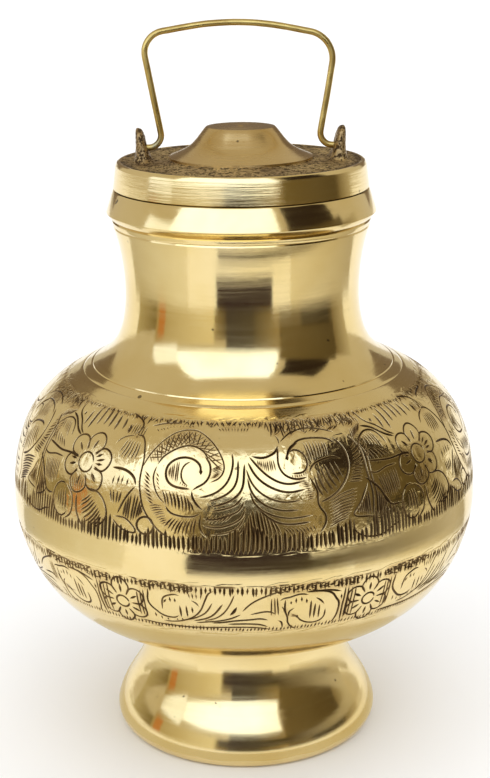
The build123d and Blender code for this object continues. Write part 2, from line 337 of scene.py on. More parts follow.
class Strokes:
    """Cuts drawn on an unrolled band: x in degrees round the pot, y in percent of its height."""

    def __init__(self, radius, height):
        self.per_degree = math.radians(radius)
        self.per_percent = height / 100
        self.cuts = []

    def place(self, points):
        return np.array(points, float) * (self.per_degree, self.per_percent)

    def curve(self, points, spacing=0.7):
        """A smooth line through points, as places in millimetres."""
        p = self.place(points)
        if len(p) == 2:
            count = max(2, round(np.linalg.norm(p[1] - p[0]) / (1.4 * spacing)))
            return p[0] + (p[1] - p[0]) * np.linspace(0, 1, count + 1)[:, None]
        return smooth_outline(p, p[1] - p[0], p[-1] - p[-2], spacing)

    def cut(self, points, width=GROOVE_WIDTH, blunt=0.25):
        """One cut along a smooth line, narrowing to its two ends."""
        self.cut_along(self.curve(points), width, blunt)

    def cut_along(self, path, width=GROOVE_WIDTH, blunt=0.25):
        run = arc_length(path)
        length = run[-1]
        taper = min(0.4 * length, 1.6)
        ends = np.minimum(run, length - run) / taper
        share = blunt + (1 - blunt) * np.clip(ends, 0, 1) ** 0.7
        share[0] = share[-1] = 0.0
        swell = 1 + dice.uniform(-0.12, 0.12)
        self.cuts.append((path, width / 2 * CUT_SWELL * swell * share))

    def loop(self, centre, across, up, width=GROOVE_WIDTH, start=0.0, end=360.0):
        """A round or oval cut. across and up are its half sizes in millimetres."""
        middle = self.place([centre])[0]
        turn = np.radians(np.linspace(start, end, max(8, int((end - start) / 20))))
        self.cut_along(middle + np.stack([across * np.cos(turn), up * np.sin(turn)], 1), width, 0.8)

    def hatch(self, first, second, count, width=GROOVE_WIDTH, span=(0, 1), bow=0.0):
        """Parallel cuts across from one guide line to another, as even as a hand makes them."""
        a, b = self.curve(first, 0.2), self.curve(second, 0.2)
        count = round(count * HATCH_CLOSENESS)
        width = min(width * HATCH_FINENESS, HATCH_WIDEST)
        for i in range(count):
            share = span[0] + (span[1] - span[0]) * (i + 0.5 + dice.uniform(-0.12, 0.12)) / count
            start, end = along(a, share), along(b, share)
            middle = (start + end) / 2 + np.array([start[1] - end[1], end[0] - start[0]]) * bow
            path = np.array([start, middle, end])
            self.cut_along(smooth_outline(path, middle - start, end - middle, 0.9), width)

    def flower(self, centre, eye, reach, petals, width, tilt=0.0):
        """A daisy: round eye, rounded petals, and a slit in each petal."""
        middle = self.place([centre])[0]
        self.loop(centre, eye, eye)
        for k in range(petals):
            turn = math.radians(tilt + 360 * k / petals)
            out = np.array([math.cos(turn), math.sin(turn)])
            side = np.array([-out[1], out[0]])
            grown = reach * (1 + dice.uniform(-0.05, 0.05))
            outline = [
                middle + out * (eye + 0.3) + side * width * 0.24,
                middle + out * (eye + (grown - eye) * 0.45) + side * width * 0.48,
                middle + out * (grown - width * 0.16) + side * width * 0.34,
                middle + out * grown,
                middle + out * (grown - width * 0.16) - side * width * 0.34,
                middle + out * (eye + (grown - eye) * 0.45) - side * width * 0.48,
                middle + out * (eye + 0.3) - side * width * 0.24,
            ]
            path = smooth_outline(outline, out + side * 0.5, -out + side * 0.5, 0.5)
            self.cut_along(path, GROOVE_WIDTH, 0.7)
            slit = [middle + out * (eye + (grown - eye) * share) for share in (0.16, 0.42, 0.68)]
            self.cut_along(smooth_outline(slit, out, out, 0.5), 0.62, 0.05)


def along(path, share):
    """The place a share of the way along a path."""
    run = arc_length(path)
    return np.array([np.interp(share * run[-1], run, path[:, k]) for k in (0, 1)])


def upper_strokes(height):
    """One quarter of the upper band. The fan stands at 0 degrees and the flower at -42."""
    s = Strokes(UPPER_RADIUS, height)

    # fan of long cuts that fall from one point and curl outwards
    for points in (
        [(-2.9, 72), (-2.6, 66), (-2.9, 58), (-4.0, 50.5), (-6.0, 44.5), (-8.8, 41), (-10.5, 40)],
        [(-1.4, 67), (-1.3, 60), (-1.6, 52.5), (-2.9, 45.5), (-5.2, 40.5), (-8.3, 37.5)],
        [(0.2, 64), (0.1, 56), (-0.4, 47.5), (-1.9, 41), (-4.3, 36.5), (-7.5, 34)],
        [(-0.2, 42), (-1.8, 36), (-4.5, 32.5), (-7.6, 31)],
        [(0.2, 39), (-1.2, 32), (-3.9, 28), (-7.5, 25.5), (-9.3, 26)],
        [(0.3, 34), (-0.6, 27.5), (-3.0, 22.5), (-6.5, 20), (-9.3, 21)],
        [(0.2, 29), (-1.2, 21.5), (-4.0, 16.5), (-7.5, 14.5)],
        [(0.0, 24), (-1.0, 17), (-2.8, 12)],
        [(1.2, 69), (3.0, 62.5), (5.2, 56), (7.8, 51.0), (10.8, 48.6), (13.8, 49.5)],
        [(0.9, 65), (2.3, 57.5), (4.6, 50.0), (7.6, 45), (11.0, 43), (14.3, 44)],
        [(0.6, 60), (1.6, 52), (3.4, 44.5), (6.2, 39), (9.5, 36.7), (13.0, 37)],
        [(0.9, 54), (1.5, 46), (2.9, 39.8), (5.5, 34), (9.0, 31), (12.5, 30.5)],
        [(1.2, 45), (2.4, 37), (4.6, 31), (7.6, 27), (11.5, 25.2), (15.5, 26)],
        [(3.2, 33), (5.4, 27), (8.0, 22.5), (11.5, 21), (15.0, 21.5)],
    ):
        s.cut(points, 0.48)
    s.hatch([(-1.9, 31), (-5.2, 29.5), (-8.4, 29)], [(-3.9, 24.6), (-6.6, 22.7), (-9.3, 23)], 6, 0.6)
    s.hatch(
        [(0.4, 25), (2.0, 33), (4.2, 31), (6.6, 24.5)],
        [(-0.6, 13), (2.2, 12), (5.0, 12.5), (8.6, 15)], 9, 0.62,
    )
    s.cut([(9.0, 77), (8.2, 72.5), (6.3, 69), (4.0, 67.6), (1.8, 69)], 0.5)

    # left scroll: a spiral with an open eye
    s.cut([
        (-10.4, 57), (-10.5, 61), (-11.3, 64.5), (-13.0, 67), (-15.2, 67.2), (-17.2, 65),
        (-18.6, 60.5), (-18.9, 55), (-18.3, 50), (-16.8, 46.7), (-14.8, 45.6), (-12.4, 45.4),
    ], 0.5)
    s.cut([(-10.5, 60.5), (-10.2, 55.5)], 0.95)
    s.cut([(-9.9, 69.5), (-8.7, 65.5), (-8.1, 60), (-8.3, 54.5), (-9.3, 50), (-10.9, 47), (-12.1, 44.5)], 0.5)
    s.cut([(-12.1, 44.5), (-12.0, 41), (-11.3, 37), (-10.2, 33.5), (-9.3, 31.5)], 0.5)
    s.cut([(-12.9, 65), (-14.3, 62.3), (-15.0, 58), (-14.9, 53), (-14.2, 49.5), (-13.0, 47.3)], 0.4)
    s.hatch([(-15.6, 65), (-17.2, 63), (-18.4, 58.5)], [(-15.5, 48), (-17.0, 49.5), (-18.4, 53.5)], 5, 0.42)
    s.hatch([(-14.9, 51), (-14.2, 49), (-13.2, 47.6)], [(-15.4, 47.5), (-14.2, 46.6), (-13.2, 46.2)], 4, 0.35)

    # cross-hatched leaf that arches over the left scroll
    arch_out = [
        (-25.0, 57), (-24.6, 62), (-23.4, 70), (-21.3, 79), (-18.6, 86.2), (-15.8, 89.3),
        (-12.8, 88.8), (-10.0, 84.5), (-7.8, 78.5), (-5.9, 71), (-4.8, 63.5), (-4.9, 58),
        (-6.2, 53), (-8.0, 50.5),
    ]
    arch_in = [
        (-21.3, 60), (-20.6, 65), (-18.8, 70.5), (-16.5, 74.5), (-13.8, 76.3), (-11.5, 75),
        (-9.8, 71.5), (-8.7, 66),
    ]
    s.cut(arch_out, 0.4)
    s.cut(arch_in, 0.4)
    for lean in (-0.055, 0.055):
        for k in range(15):
            share = 0.06 + 0.92 * (k + 0.5 + dice.uniform(-0.1, 0.1)) / 15
            outer_place = along(s.curve(arch_out[1:12], 0.2), min(1, max(0, share - lean)))
            inner_place = along(s.curve(arch_in, 0.2), min(1, max(0, share + lean)))
            s.cut_along(np.linspace(outer_place, inner_place, 6), 0.29, 0.6)
    s.hatch(
        [(-24.4, 63), (-22.6, 74), (-20.0, 83.5), (-16.6, 88.6), (-14.0, 88.6)],
        [(-20.2, 66), (-18.0, 72), (-15.6, 76), (-13.4, 77.5), (-11.6, 78)], 12, 0.3,
    )
    s.hatch(
        [(-22.9, 60), (-21.7, 68), (-18.8, 76), (-15, 79.5)],
        [(-24.2, 66), (-22.2, 77), (-19.2, 84), (-15.2, 87)], 13, 0.3,
    )
    s.hatch([(-8.1, 60), (-7.6, 56), (-8.2, 53)], [(-5.3, 64), (-5.0, 59), (-6.0, 54.5)], 7, 0.34)

    # feathered stem down the left of the scroll
    stem = [
        (-29.9, 80), (-28.2, 80.2), (-27.0, 77.5), (-26.1, 72), (-25.4, 65), (-25.1, 56),
        (-25.1, 47), (-24.7, 39), (-23.8, 31), (-22.3, 24), (-20.5, 18), (-18.3, 13), (-16.2, 10.5),
    ]
    vein = [(-21.3, 60), (-21.8, 54), (-21.7, 48.5), (-21.1, 43.5), (-20.0, 38.5), (-18.2, 34)]
    s.cut(stem, 0.48)
    s.cut(vein, 0.42)
    s.hatch(
        [(-24.2, 57), (-24.2, 49), (-23.8, 41), (-22.9, 34)],
        [(-22.5, 52), (-22.2, 44), (-21.4, 37.5), (-20.4, 31)], 7, 0.55,
    )
    s.hatch([(-21.4, 57), (-21.2, 50), (-20.6, 44.5)], [(-20.4, 53), (-20.1, 46.5), (-19.3, 41)], 4, 0.4)
    s.hatch(
        [(-22.6, 32), (-21.4, 27), (-19.8, 21.5), (-18.2, 17)],
        [(-19.0, 33), (-18.2, 29.5), (-17.4, 25), (-16.6, 20)], 9, 0.42, bow=0.06,
    )

    # thick feathers below the left scroll
    s.hatch(
        [(-19.8, 43.5), (-17.8, 43.5), (-15.6, 42.5), (-13.4, 41), (-12.6, 37)],
        [(-18.4, 33), (-16.6, 31.2), (-14.6, 29.5), (-12.6, 28.7), (-11.0, 30)], 8, 0.75, bow=0.06,
    )
    s.cut([(-18.2, 33.5), (-17.3, 29.5), (-15.5, 27), (-13.4, 26.2), (-11.3, 27), (-9.8, 29.5)], 0.5)
    s.hatch(
        [(-16.2, 25.5), (-14.0, 24.6), (-11.6, 25.5), (-10.4, 26.5)],
        [(-18.2, 19), (-16.2, 14.5), (-13.4, 12.5), (-10.8, 13)], 8, 0.55, bow=-0.05,
    )
    s.cut([(-9.7, 29), (-10.0, 23), (-9.6, 17), (-8.4, 12.5)], 0.45)

    # right scroll, with leaves above and below it
    s.cut([(10.6, 66.5), (11.3, 71), (12.6, 75.5), (14.4, 78.3)], 0.6)
    s.cut([(10.5, 68.5), (10.9, 65)], 0.95)
    s.cut([
        (11.2, 70.5), (12.8, 72.6), (14.4, 71), (15.4, 67), (15.6, 62), (14.8, 57.6), (13.2, 55.6),
        (11.2, 56),
    ], 0.45)
    s.cut([(8.9, 76), (8.5, 69), (8.4, 63), (9.2, 57), (10.9, 52.8), (13.0, 51.4), (15.0, 52.5)], 0.5)
    s.hatch([(2.9, 66.5), (5.0, 65.8), (7.4, 67)], [(3.4, 62), (5.6, 57.5), (7.9, 58)], 8, 0.4)
    s.hatch([(11.0, 55), (13.0, 55), (14.9, 57)], [(11.3, 52.6), (13.0, 51.9), (15.0, 53.4)], 6, 0.36)
    s.cut([(12.4, 75.3), (13.8, 78.7), (16.4, 80.8), (19.6, 80.5), (22.6, 78), (24.4, 73.5)], 0.42)
    s.cut([(15.5, 55), (16.6, 59.5), (18.2, 62.2), (20.4, 63.8), (22.8, 64.2), (24.4, 62.5)], 0.5)
    s.hatch([(15.2, 78), (18.2, 78.3), (21.6, 76.6)], [(16.3, 62.5), (18.8, 64.6), (21.6, 65.5)], 7, 0.5)
    arc = [
        (23.8, 79), (25.3, 73.5), (26.1, 67.5), (26.2, 60.5), (25.6, 53.5), (24.2, 46.5),
        (22.2, 40.5), (19.8, 36.5), (17.4, 34.3),
    ]
    s.cut(arc, 0.5)
    s.hatch(
        [(16.3, 53), (18.0, 58), (20.4, 60.6), (23.0, 61)],
        [(17.9, 36), (19.8, 38.5), (22.2, 42.5), (24.4, 49.5)], 5, 1.0, bow=-0.05,
    )
    s.hatch([(17.2, 55.5), (19.2, 59.4), (21.7, 60.8)], [(18.8, 37.2), (21.0, 40.5), (23.3, 45.5)], 4, 0.35)
    s.cut([
        (15.5, 52.5), (16.5, 47), (17.2, 41), (17.0, 36), (17.3, 31), (18.4, 26), (18.6, 21),
        (17.8, 16), (16.8, 12.5),
    ], 0.48)
    s.hatch(
        [(15.0, 50), (16.2, 46), (16.6, 41), (16.6, 37)],
        [(12.6, 50.4), (13.6, 45.6), (14.2, 40.6), (14.0, 36)], 9, 0.4,
    )

    # dark feathering between the right scroll and the upright stem
    s.hatch(
        [(19.2, 34), (19.3, 27), (19.6, 20), (19.0, 15)],
        [(27.2, 41), (26.6, 34), (25.2, 26.5), (24.0, 20.5)], 9, 0.5, bow=0.05,
    )
    s.hatch([(24.6, 44.5), (26.0, 50), (27.0, 57)], [(28.6, 43), (29.4, 49.5), (29.9, 56.5)], 6, 0.5)
    s.hatch([(8.0, 20), (11.6, 19), (15.8, 20)], [(9.6, 15), (12.6, 13.6), (16.6, 14.4)], 8, 0.45)

    # upright stem with small leaves, and the pointed leaf at its foot
    stalk = [
        (28.4, 79), (29.6, 73), (30.5, 67), (30.6, 60), (30.4, 52), (30.6, 44), (30.9, 36),
        (30.8, 27), (30.6, 19),
    ]
    s.cut(stalk, 0.5)
    s.cut([(x + 1.0, y - 2) for x, y in stalk[1:]], 0.4)
    s.hatch([(29.8, 75), (30.4, 66), (30.3, 57)], [(28.0, 70), (27.6, 62), (27.4, 54)], 6, 0.5)
    s.hatch([(30.9, 73), (31.5, 65), (31.5, 58)], [(32.6, 78), (33.2, 70), (32.9, 63)], 5, 0.45)
    s.cut([(29.9, 42), (28.4, 35), (26.8, 28), (25.4, 22.5), (28.0, 19.8), (30.8, 18.6)], 0.45)
    s.cut([(31.6, 42), (33.0, 36), (34.6, 29), (35.4, 24), (34.0, 19), (31.0, 15.4)], 0.45)
    s.hatch([(26.2, 26), (27.8, 32), (29.8, 39)], [(26.4, 22.8), (28.2, 20.9), (30.2, 20)], 6, 0.6)
    s.hatch([(31.8, 38), (33.0, 34.5), (34.6, 28)], [(31.6, 17.5), (33.2, 19), (34.6, 22.5)], 5, 0.6)
    s.cut([(25.3, 20), (25.4, 12), (27.2, 6.8), (30.2, 4.4), (33.4, 5.2), (36.4, 9.5), (38.4, 10.5)], 0.45)

    # leaves to the left of the flower, which meet the stem of the quarter before
    s.cut([(31.4 - 90, 57.5), (34.6 - 90, 56.2), (-51.5, 54.8), (-47.5, 55.2), (-44.4, 54.2)], 0.55)
    s.hatch([(-57.8, 57.5), (-54.4, 57), (-50.8, 56.6)], [(-59.8, 67.5), (-56.6, 66.5), (-53.0, 63)], 5, 0.5)
    s.cut([
        (-60.4, 62), (-59.4, 70.5), (-57.4, 77.5), (-55.2, 79.6), (-53.2, 78), (-51.6, 72),
        (-50.9, 66),
    ], 0.42)
    s.hatch([(-58.3, 76), (-56.0, 78), (-53.8, 77.6)], [(-57.4, 69), (-54.6, 67), (-52.0, 63)], 5, 0.45)
    s.cut([(-56.4, 84), (-54.0, 82), (-51.6, 77), (-49.6, 72.5), (-47.4, 69.7)], 0.5)
    s.cut([(-59.4, 50.5), (-57.4, 48.3), (-54.0, 50.2), (-50.2, 50.4)], 0.42)
    s.cut([(-60.6, 47), (-58.4, 41.5), (-56.4, 34.5), (-55.4, 28), (-53.4, 23), (-51.0, 23.6)], 0.5)
    s.hatch([(-57.4, 46.5), (-54.2, 48), (-50.8, 48.2)], [(-55.6, 31), (-52.8, 29), (-50.6, 33)], 8, 0.5)
    s.hatch([(-60.4, 84), (-57.8, 86), (-55.4, 88)], [(-60.8, 72), (-59.6, 76), (-57.6, 80)], 7, 0.5)
    s.hatch([(-64.0, 95), (-60.0, 95), (-55.8, 93)], [(-62.0, 89), (-58.8, 87.4), (-55.6, 85.5)], 8, 0.45)

    # lobe above the flower
    s.cut([(-55.0, 97.3), (-54.6, 91), (-53.2, 85.5), (-50.8, 80.5), (-48.6, 74), (-46.9, 71)], 0.45)
    s.cut([(-34.9, 98.4), (-32.2, 95.5), (-29.9, 91.5), (-29.1, 86.5), (-30.2, 80)], 0.5)
    s.cut([(-52.0, 88.5), (-51.4, 84.5)], 0.8)
    for x, high, low in (
        (-49.2, 91.5, 77), (-46.9, 96.5, 75.5), (-44.6, 98, 80), (-42.3, 98.2, 81.5),
        (-40.2, 97, 81), (-37.8, 94.5, 79.5), (-35.3, 92.5, 81.5), (-32.9, 88, 79.5),
    ):
        s.cut([(x - 0.2, high), (x + 0.15, (high + low) / 2), (x + 0.1, low)], 0.75, 0.1)

    # the flower, and the lobes and leaves round it
    s.flower((-41.8, 52.5), 2.3, 7.4, 6, 5.4, tilt=77)
    for angle in (-38.0, 32.0, 4.0, 178.0):
        turned_by = math.radians(angle)
        middle = s.place([(-41.8, 52.5)])[0]
        out = np.array([math.cos(turned_by), math.sin(turned_by)])
        s.cut_along(np.array([middle + out * r for r in (2.9, 4.2, 5.4)]), 0.6, 0.05)
    s.cut([(-34.9, 70.5), (-33.6, 75.5), (-31.2, 79), (-29.9, 80)], 0.42)
    s.hatch(
        [(-31.9, 76.5), (-29.9, 76.6), (-27.4, 75)],
        [(-33.2, 65), (-31.4, 60), (-27.6, 61)], 5, 0.5, bow=0.05,
    )
    s.cut([(-33.4, 53.6), (-30.7, 53.4), (-28.2, 51.8), (-26.5, 48), (-26.0, 43.4)], 0.62)
    s.hatch(
        [(-32.6, 47.6), (-30.0, 49.4), (-27.6, 47.6)],
        [(-33.0, 40), (-30.6, 41.6), (-28.0, 41.8)], 4, 0.6,
    )
    s.hatch([(-33.2, 38.5), (-31.4, 38.6), (-29.0, 38.4)], [(-32.2, 30), (-31.2, 28.6), (-29.8, 30)], 4, 0.6)
    s.cut([(-26.0, 43.4), (-27.6, 37.5), (-29.0, 30), (-30.0, 22.5)], 0.48)
    s.hatch(
        [(-28.2, 32), (-26.6, 38.6), (-24.7, 36.5), (-23.4, 28)],
        [(-28.8, 21), (-27.0, 18.5), (-25.6, 19.6), (-23.8, 24.5)], 7, 0.62,
    )
    s.loop((-22.8, 17.2), 1.95, 2.0, 0.5)
    s.cut([
        (-31.0, 20.5), (-28.6, 20.8), (-26.3, 17.2), (-25.1, 11.5), (-27.5, 11), (-29.7, 14.2),
        (-31.4, 19),
    ], 0.48)
    s.cut([
        (-39.6, 35), (-36.7, 34.6), (-34.7, 31.5), (-33.3, 25.5), (-32.9, 20), (-34.3, 13),
        (-36.7, 8),
    ], 0.5)
    s.cut([(-42.4, 29), (-42.2, 19), (-41.2, 11.5), (-39.8, 6)], 0.55)
    s.hatch(
        [(-41.2, 25), (-40.6, 15), (-38.4, 9), (-36.2, 9.4)],
        [(-38.2, 33), (-36.4, 28), (-34.6, 22), (-34.0, 17)], 8, 0.6, bow=-0.06,
    )
    s.cut([(-46.4, 33.5), (-44.2, 28), (-43.6, 20), (-44.2, 13), (-46.2, 8)], 0.45)
    s.loop((-47.9, 21.5), 2.9, 4.0, 0.45, start=60, end=330)
    s.hatch(
        [(-49.2, 27), (-47.8, 30), (-46.2, 30)],
        [(-49.4, 17), (-47.6, 14), (-45.6, 13)], 4, 0.6, bow=0.04,
    )
    s.hatch([(-45.4, 40), (-43.2, 42), (-41.0, 41.5)], [(-44.8, 32), (-43.2, 31), (-41.2, 32)], 5, 0.42)
    s.hatch([(-51.8, 22), (-49.8, 25)], [(-51.4, 13), (-50.6, 11)], 3, 0.4)

    # row of upright cuts along the lower edge, longer in the corners between the leaves
    rise_at = (-57, -53, -47, -42, -36, -33, -28, -25, -20, -15, -9, -4, 0, 5, 9, 15, 20, 24, 26, 33)
    rises = (22, 16, 6, 7, 11, 17, 10, 7.5, 14, 9, 9.5, 11, 20, 11, 13, 9.5, 12, 17, 5, 21)
    for k in range(88):
        x = -57 + 90 * (k + 0.5 + dice.uniform(-0.12, 0.12)) / 88
        top = np.interp(x, rise_at, rises) * dice.uniform(0.9, 1.25) + 3.5
        s.cut([(x, 1.0 + dice.uniform(0, 1)), (x + dice.uniform(-0.25, 0.25), top)], 0.68, 0.7)

    # close scribble of crossing cuts along the upper edge
    depth_at = (-57, -50, -40, -30, -24, -10, 4, 9, 16, 24, 33)
    depths = (6.0, 5.0, 4.5, 8.5, 6.5, 6, 6.5, 16, 12, 14, 11)
    for k in range(170):
        x = -57 + 90 * (k + dice.uniform(0, 1)) / 170
        deep = np.interp(x, depth_at, depths) * dice.uniform(0.6, 1.1)
        lean = dice.choice((-1, 1)) * dice.uniform(0.4, 1.3)
        top = 99 - dice.uniform(0, 1.2)
        s.cut([(x, top), (x + lean, top - deep)], 0.42, 0.5)
    for k in range(84):
        x = 9 + 24 * dice.uniform(0, 1)
        y = dice.uniform(86, 98)
        lean = dice.choice((-1, 1)) * dice.uniform(0.7, 1.3)
        s.cut([(x - lean, y + 2), (x + lean, y - 2)], 0.32, 0.4)
    s.cut([(8.4, 86), (9.1, 91), (9.9, 96)], 0.6)
    s.cut([(8.4, 86), (9.2, 81.5), (9.3, 77)], 0.42)
    s.hatch([(9.3, 89), (11.0, 86), (12.6, 86.5)], [(10.6, 95), (12.4, 93), (14.2, 92)], 4, 0.4)
    s.cut([(-26.6, 89), (-24.2, 92), (-21.0, 94), (-17.5, 95)], 0.5)
    s.hatch([(-33.4, 88), (-30.4, 90.5), (-27.4, 88)], [(-33.6, 80), (-30.8, 78.5), (-27.6, 76.5)], 7, 0.45)
    s.hatch([(-25.4, 87.5), (-20.5, 92), (-14.5, 94)], [(-24.0, 84), (-19.6, 89.5), (-13.5, 91.5)], 11, 0.4)
    s.hatch([(-7.6, 93), (-3.0, 93.5), (2.0, 93)], [(-6.4, 88.5), (-3.0, 88), (1.0, 88.5)], 9, 0.4)
    s.cut([(9.6, 79.5), (12.0, 85), (15.0, 88.4), (18.8, 89), (22.4, 86.6), (25.0, 83)], 0.36)
    return s.cuts


def lower_strokes(height):
    """One sixth of the lower band, from the flower at -30 degrees to the next one at 30."""
    s = Strokes(LOWER_RADIUS, height)
    s.flower((-30.0, 47), 1.65, 6.3, 6, 4.5, tilt=90)

    # left scroll
    s.cut([
        (-22.7, 84), (-22.8, 74), (-23.0, 65), (-22.9, 56), (-22.3, 48), (-21.2, 40), (-20.2, 34),
        (-18.9, 30), (-17.4, 29), (-16.2, 31.5), (-15.5, 36),
    ], 0.52)
    s.cut([(-19.6, 43), (-19.5, 52), (-19.4, 62), (-18.9, 70), (-17.6, 75), (-16.1, 77.5), (-14.8, 76)], 0.42)
    s.cut([(-19.2, 58), (-18.7, 63), (-18.2, 67)], 0.6, 0.1)
    for x, high, low in ((-17.4, 73, 61), (-16.2, 71, 61), (-15.1, 58, 30), (-13.6, 59, 31), (-12.3, 57, 40)):
        s.cut([(x, high), (x + 0.1, low)], 0.5)
    s.cut([(-12.4, 69), (-11.3, 64.5), (-10.6, 57)], 0.42)
    for x, high, low in (
        (-21.7, 36, 24), (-20.2, 31, 21), (-18.6, 28.5, 20), (-16.2, 29, 22), (-14.9, 30, 25),
    ):
        s.cut([(x, high), (x + 0.05, low)], 0.42)

    # plume of long cuts that rise to the right
    for points in (
        [(-20.0, 18.5), (-17.8, 19), (-15.5, 22.5), (-13.5, 28), (-11.8, 36), (-10.6, 46), (-9.9, 56),
         (-9.4, 66), (-8.9, 75), (-8.3, 84), (-7.0, 90)],
        [(-14.8, 24.5), (-12.4, 30), (-10.6, 36.5), (-9.2, 45), (-8.3, 55), (-7.4, 68)],
        [(-12.3, 25), (-9.8, 30), (-7.9, 38), (-6.3, 52), (-5.0, 66)],
        [(-9.8, 26), (-7.2, 33), (-5.2, 45), (-4.0, 58), (-3.1, 71), (-2.4, 84)],
        [(-11.9, 20.5), (-9.0, 24), (-6.0, 28.5), (-3.4, 35), (-1.0, 44)],
        [(-8.0, 22), (-5.5, 25), (-2.6, 29.5), (1.5, 32), (3.5, 33), (5.5, 29.5)],
        [(-4.4, 22), (-0.8, 22.7), (2.0, 21.5), (4.0, 18.5), (5.5, 13.5)],
        [(-0.9, 49), (0.5, 60), (2.1, 70), (4.4, 78.5), (6.3, 84), (8.3, 89)],
        [(0.8, 42.5), (2.7, 46), (4.4, 48.5), (5.7, 48), (7.1, 42.5)],
        [(7.5, 28.5), (8.3, 25), (8.7, 17), (8.8, 9)],
    ):
        s.cut(points, 0.45)
    s.cut([(-3.8, 41), (-2.8, 49), (-2.0, 60)], 0.7, 0.1)
    s.cut([
        (-26.0, 12), (-23.0, 10.8), (-19.0, 9.8), (-15.0, 9.4), (-11.0, 10.2), (-7.0, 12.2),
        (-3.5, 14.5), (0.0, 14.5), (3.0, 12), (6.0, 8),
    ], 0.42)

    # right scroll
    s.cut([(7.7, 69), (8.3, 73), (9.7, 75), (11.5, 78.3), (13.3, 78.6), (14.6, 76)], 0.42)
    s.cut([(8.2, 59), (8.8, 52), (9.3, 43), (9.8, 33), (9.9, 24), (10.4, 15), (11.4, 8), (12.4, 4)], 0.5)
    s.cut([(9.0, 73), (9.0, 62), (9.1, 50), (9.6, 40)], 0.42)
    s.cut([(11.3, 53), (10.3, 48), (10.0, 40), (10.2, 33)], 0.42)
    s.cut([
        (12.0, 36), (12.6, 28), (13.4, 22.5), (14.8, 17.5), (16.3, 15.5), (18.0, 18), (18.9, 25),
        (19.1, 34), (19.0, 45),
    ], 0.46)
    s.cut([(11.8, 35), (12.3, 32)], 0.8)
    for x, high, low in (
        (10.3, 68, 60), (11.5, 74, 60), (12.8, 75, 62), (14.0, 70, 58), (15.2, 66, 24),
        (16.3, 59, 24), (17.4, 56, 22), (23.2, 62, 8), (24.3, 58, 16), (22.4, 70, 57),
    ):
        s.cut([(x, high), (x + dice.uniform(0, 0.3), low)], 0.5)
    s.cut([(16.2, 70), (17.6, 62), (18.6, 53)], 0.42)
    s.cut([
        (13.8, 82), (16.7, 82), (18.7, 79), (20.4, 71), (21.3, 62), (22.1, 54), (22.4, 44),
        (22.3, 30), (21.7, 15), (20.9, 6),
    ], 0.48)
    s.cut([(16.4, 83), (19.4, 80), (22.4, 74)], 0.5)

    # upright shading on both sides of the flower
    s.hatch([(-26.0, 22), (-23.6, 20)], [(-26.0, 76), (-23.6, 82)], 3, 0.5)
    s.hatch([(22.8, 12), (26.6, 16)], [(22.8, 84), (26.6, 80)], 4, 0.5)
    s.hatch([(5.6, 36), (8.2, 38)], [(5.6, 76), (7.4, 80)], 3, 0.5)
    s.hatch([(-13.4, 84), (-9.6, 86)], [(-13.0, 72), (-9.8, 70)], 4, 0.5)

    # upper edge: ticks in the middle and a dark scribble to each side
    for k in range(58):
        x = -30 + 60 * (k + 0.5) / 58 + dice.uniform(-0.2, 0.2)
        low = 80 if -13 < x < 6 else 82
        s.cut([(x, 98.5), (x + dice.uniform(-0.2, 0.2), low + dice.uniform(-4, 4))], 0.60, 0.7)
    for k in range(200):
        x = dice.choice((dice.uniform(-26, -12), dice.uniform(5, 27)))
        y = dice.uniform(85, 98)
        s.cut([(x - 0.6, y + dice.uniform(-3, 3)), (x + 0.6, y + dice.uniform(-4, 4))], 0.36, 0.5)

    # lower edge: a row of short cuts
    for k in range(68):
        x = -30 + 60 * (k + 0.5) / 68 + dice.uniform(-0.12, 0.12)
        s.cut([(x - 0.15, 1.2), (x + 0.15, 14.0 + dice.uniform(-2, 2))], 0.48, 0.6)
    return s.cuts


def repeated(draw, height, radius, repeats):
    """Every repeat of a band's pattern, each drawn anew so that no two are quite alike."""
    round_all = 2 * math.pi * radius
    cuts = []
    for k in range(repeats):
        for path, half in draw(height):
            wander = np.array([
                noise.noise_vector(Vector((x * WANDER_FINENESS, y * WANDER_FINENESS, 7.3 * k)))[:2]
                for x, y in path
            ])
            cuts.append((path + wander * WANDER + (round_all * k / repeats, 0), half))
    return cuts, round_all


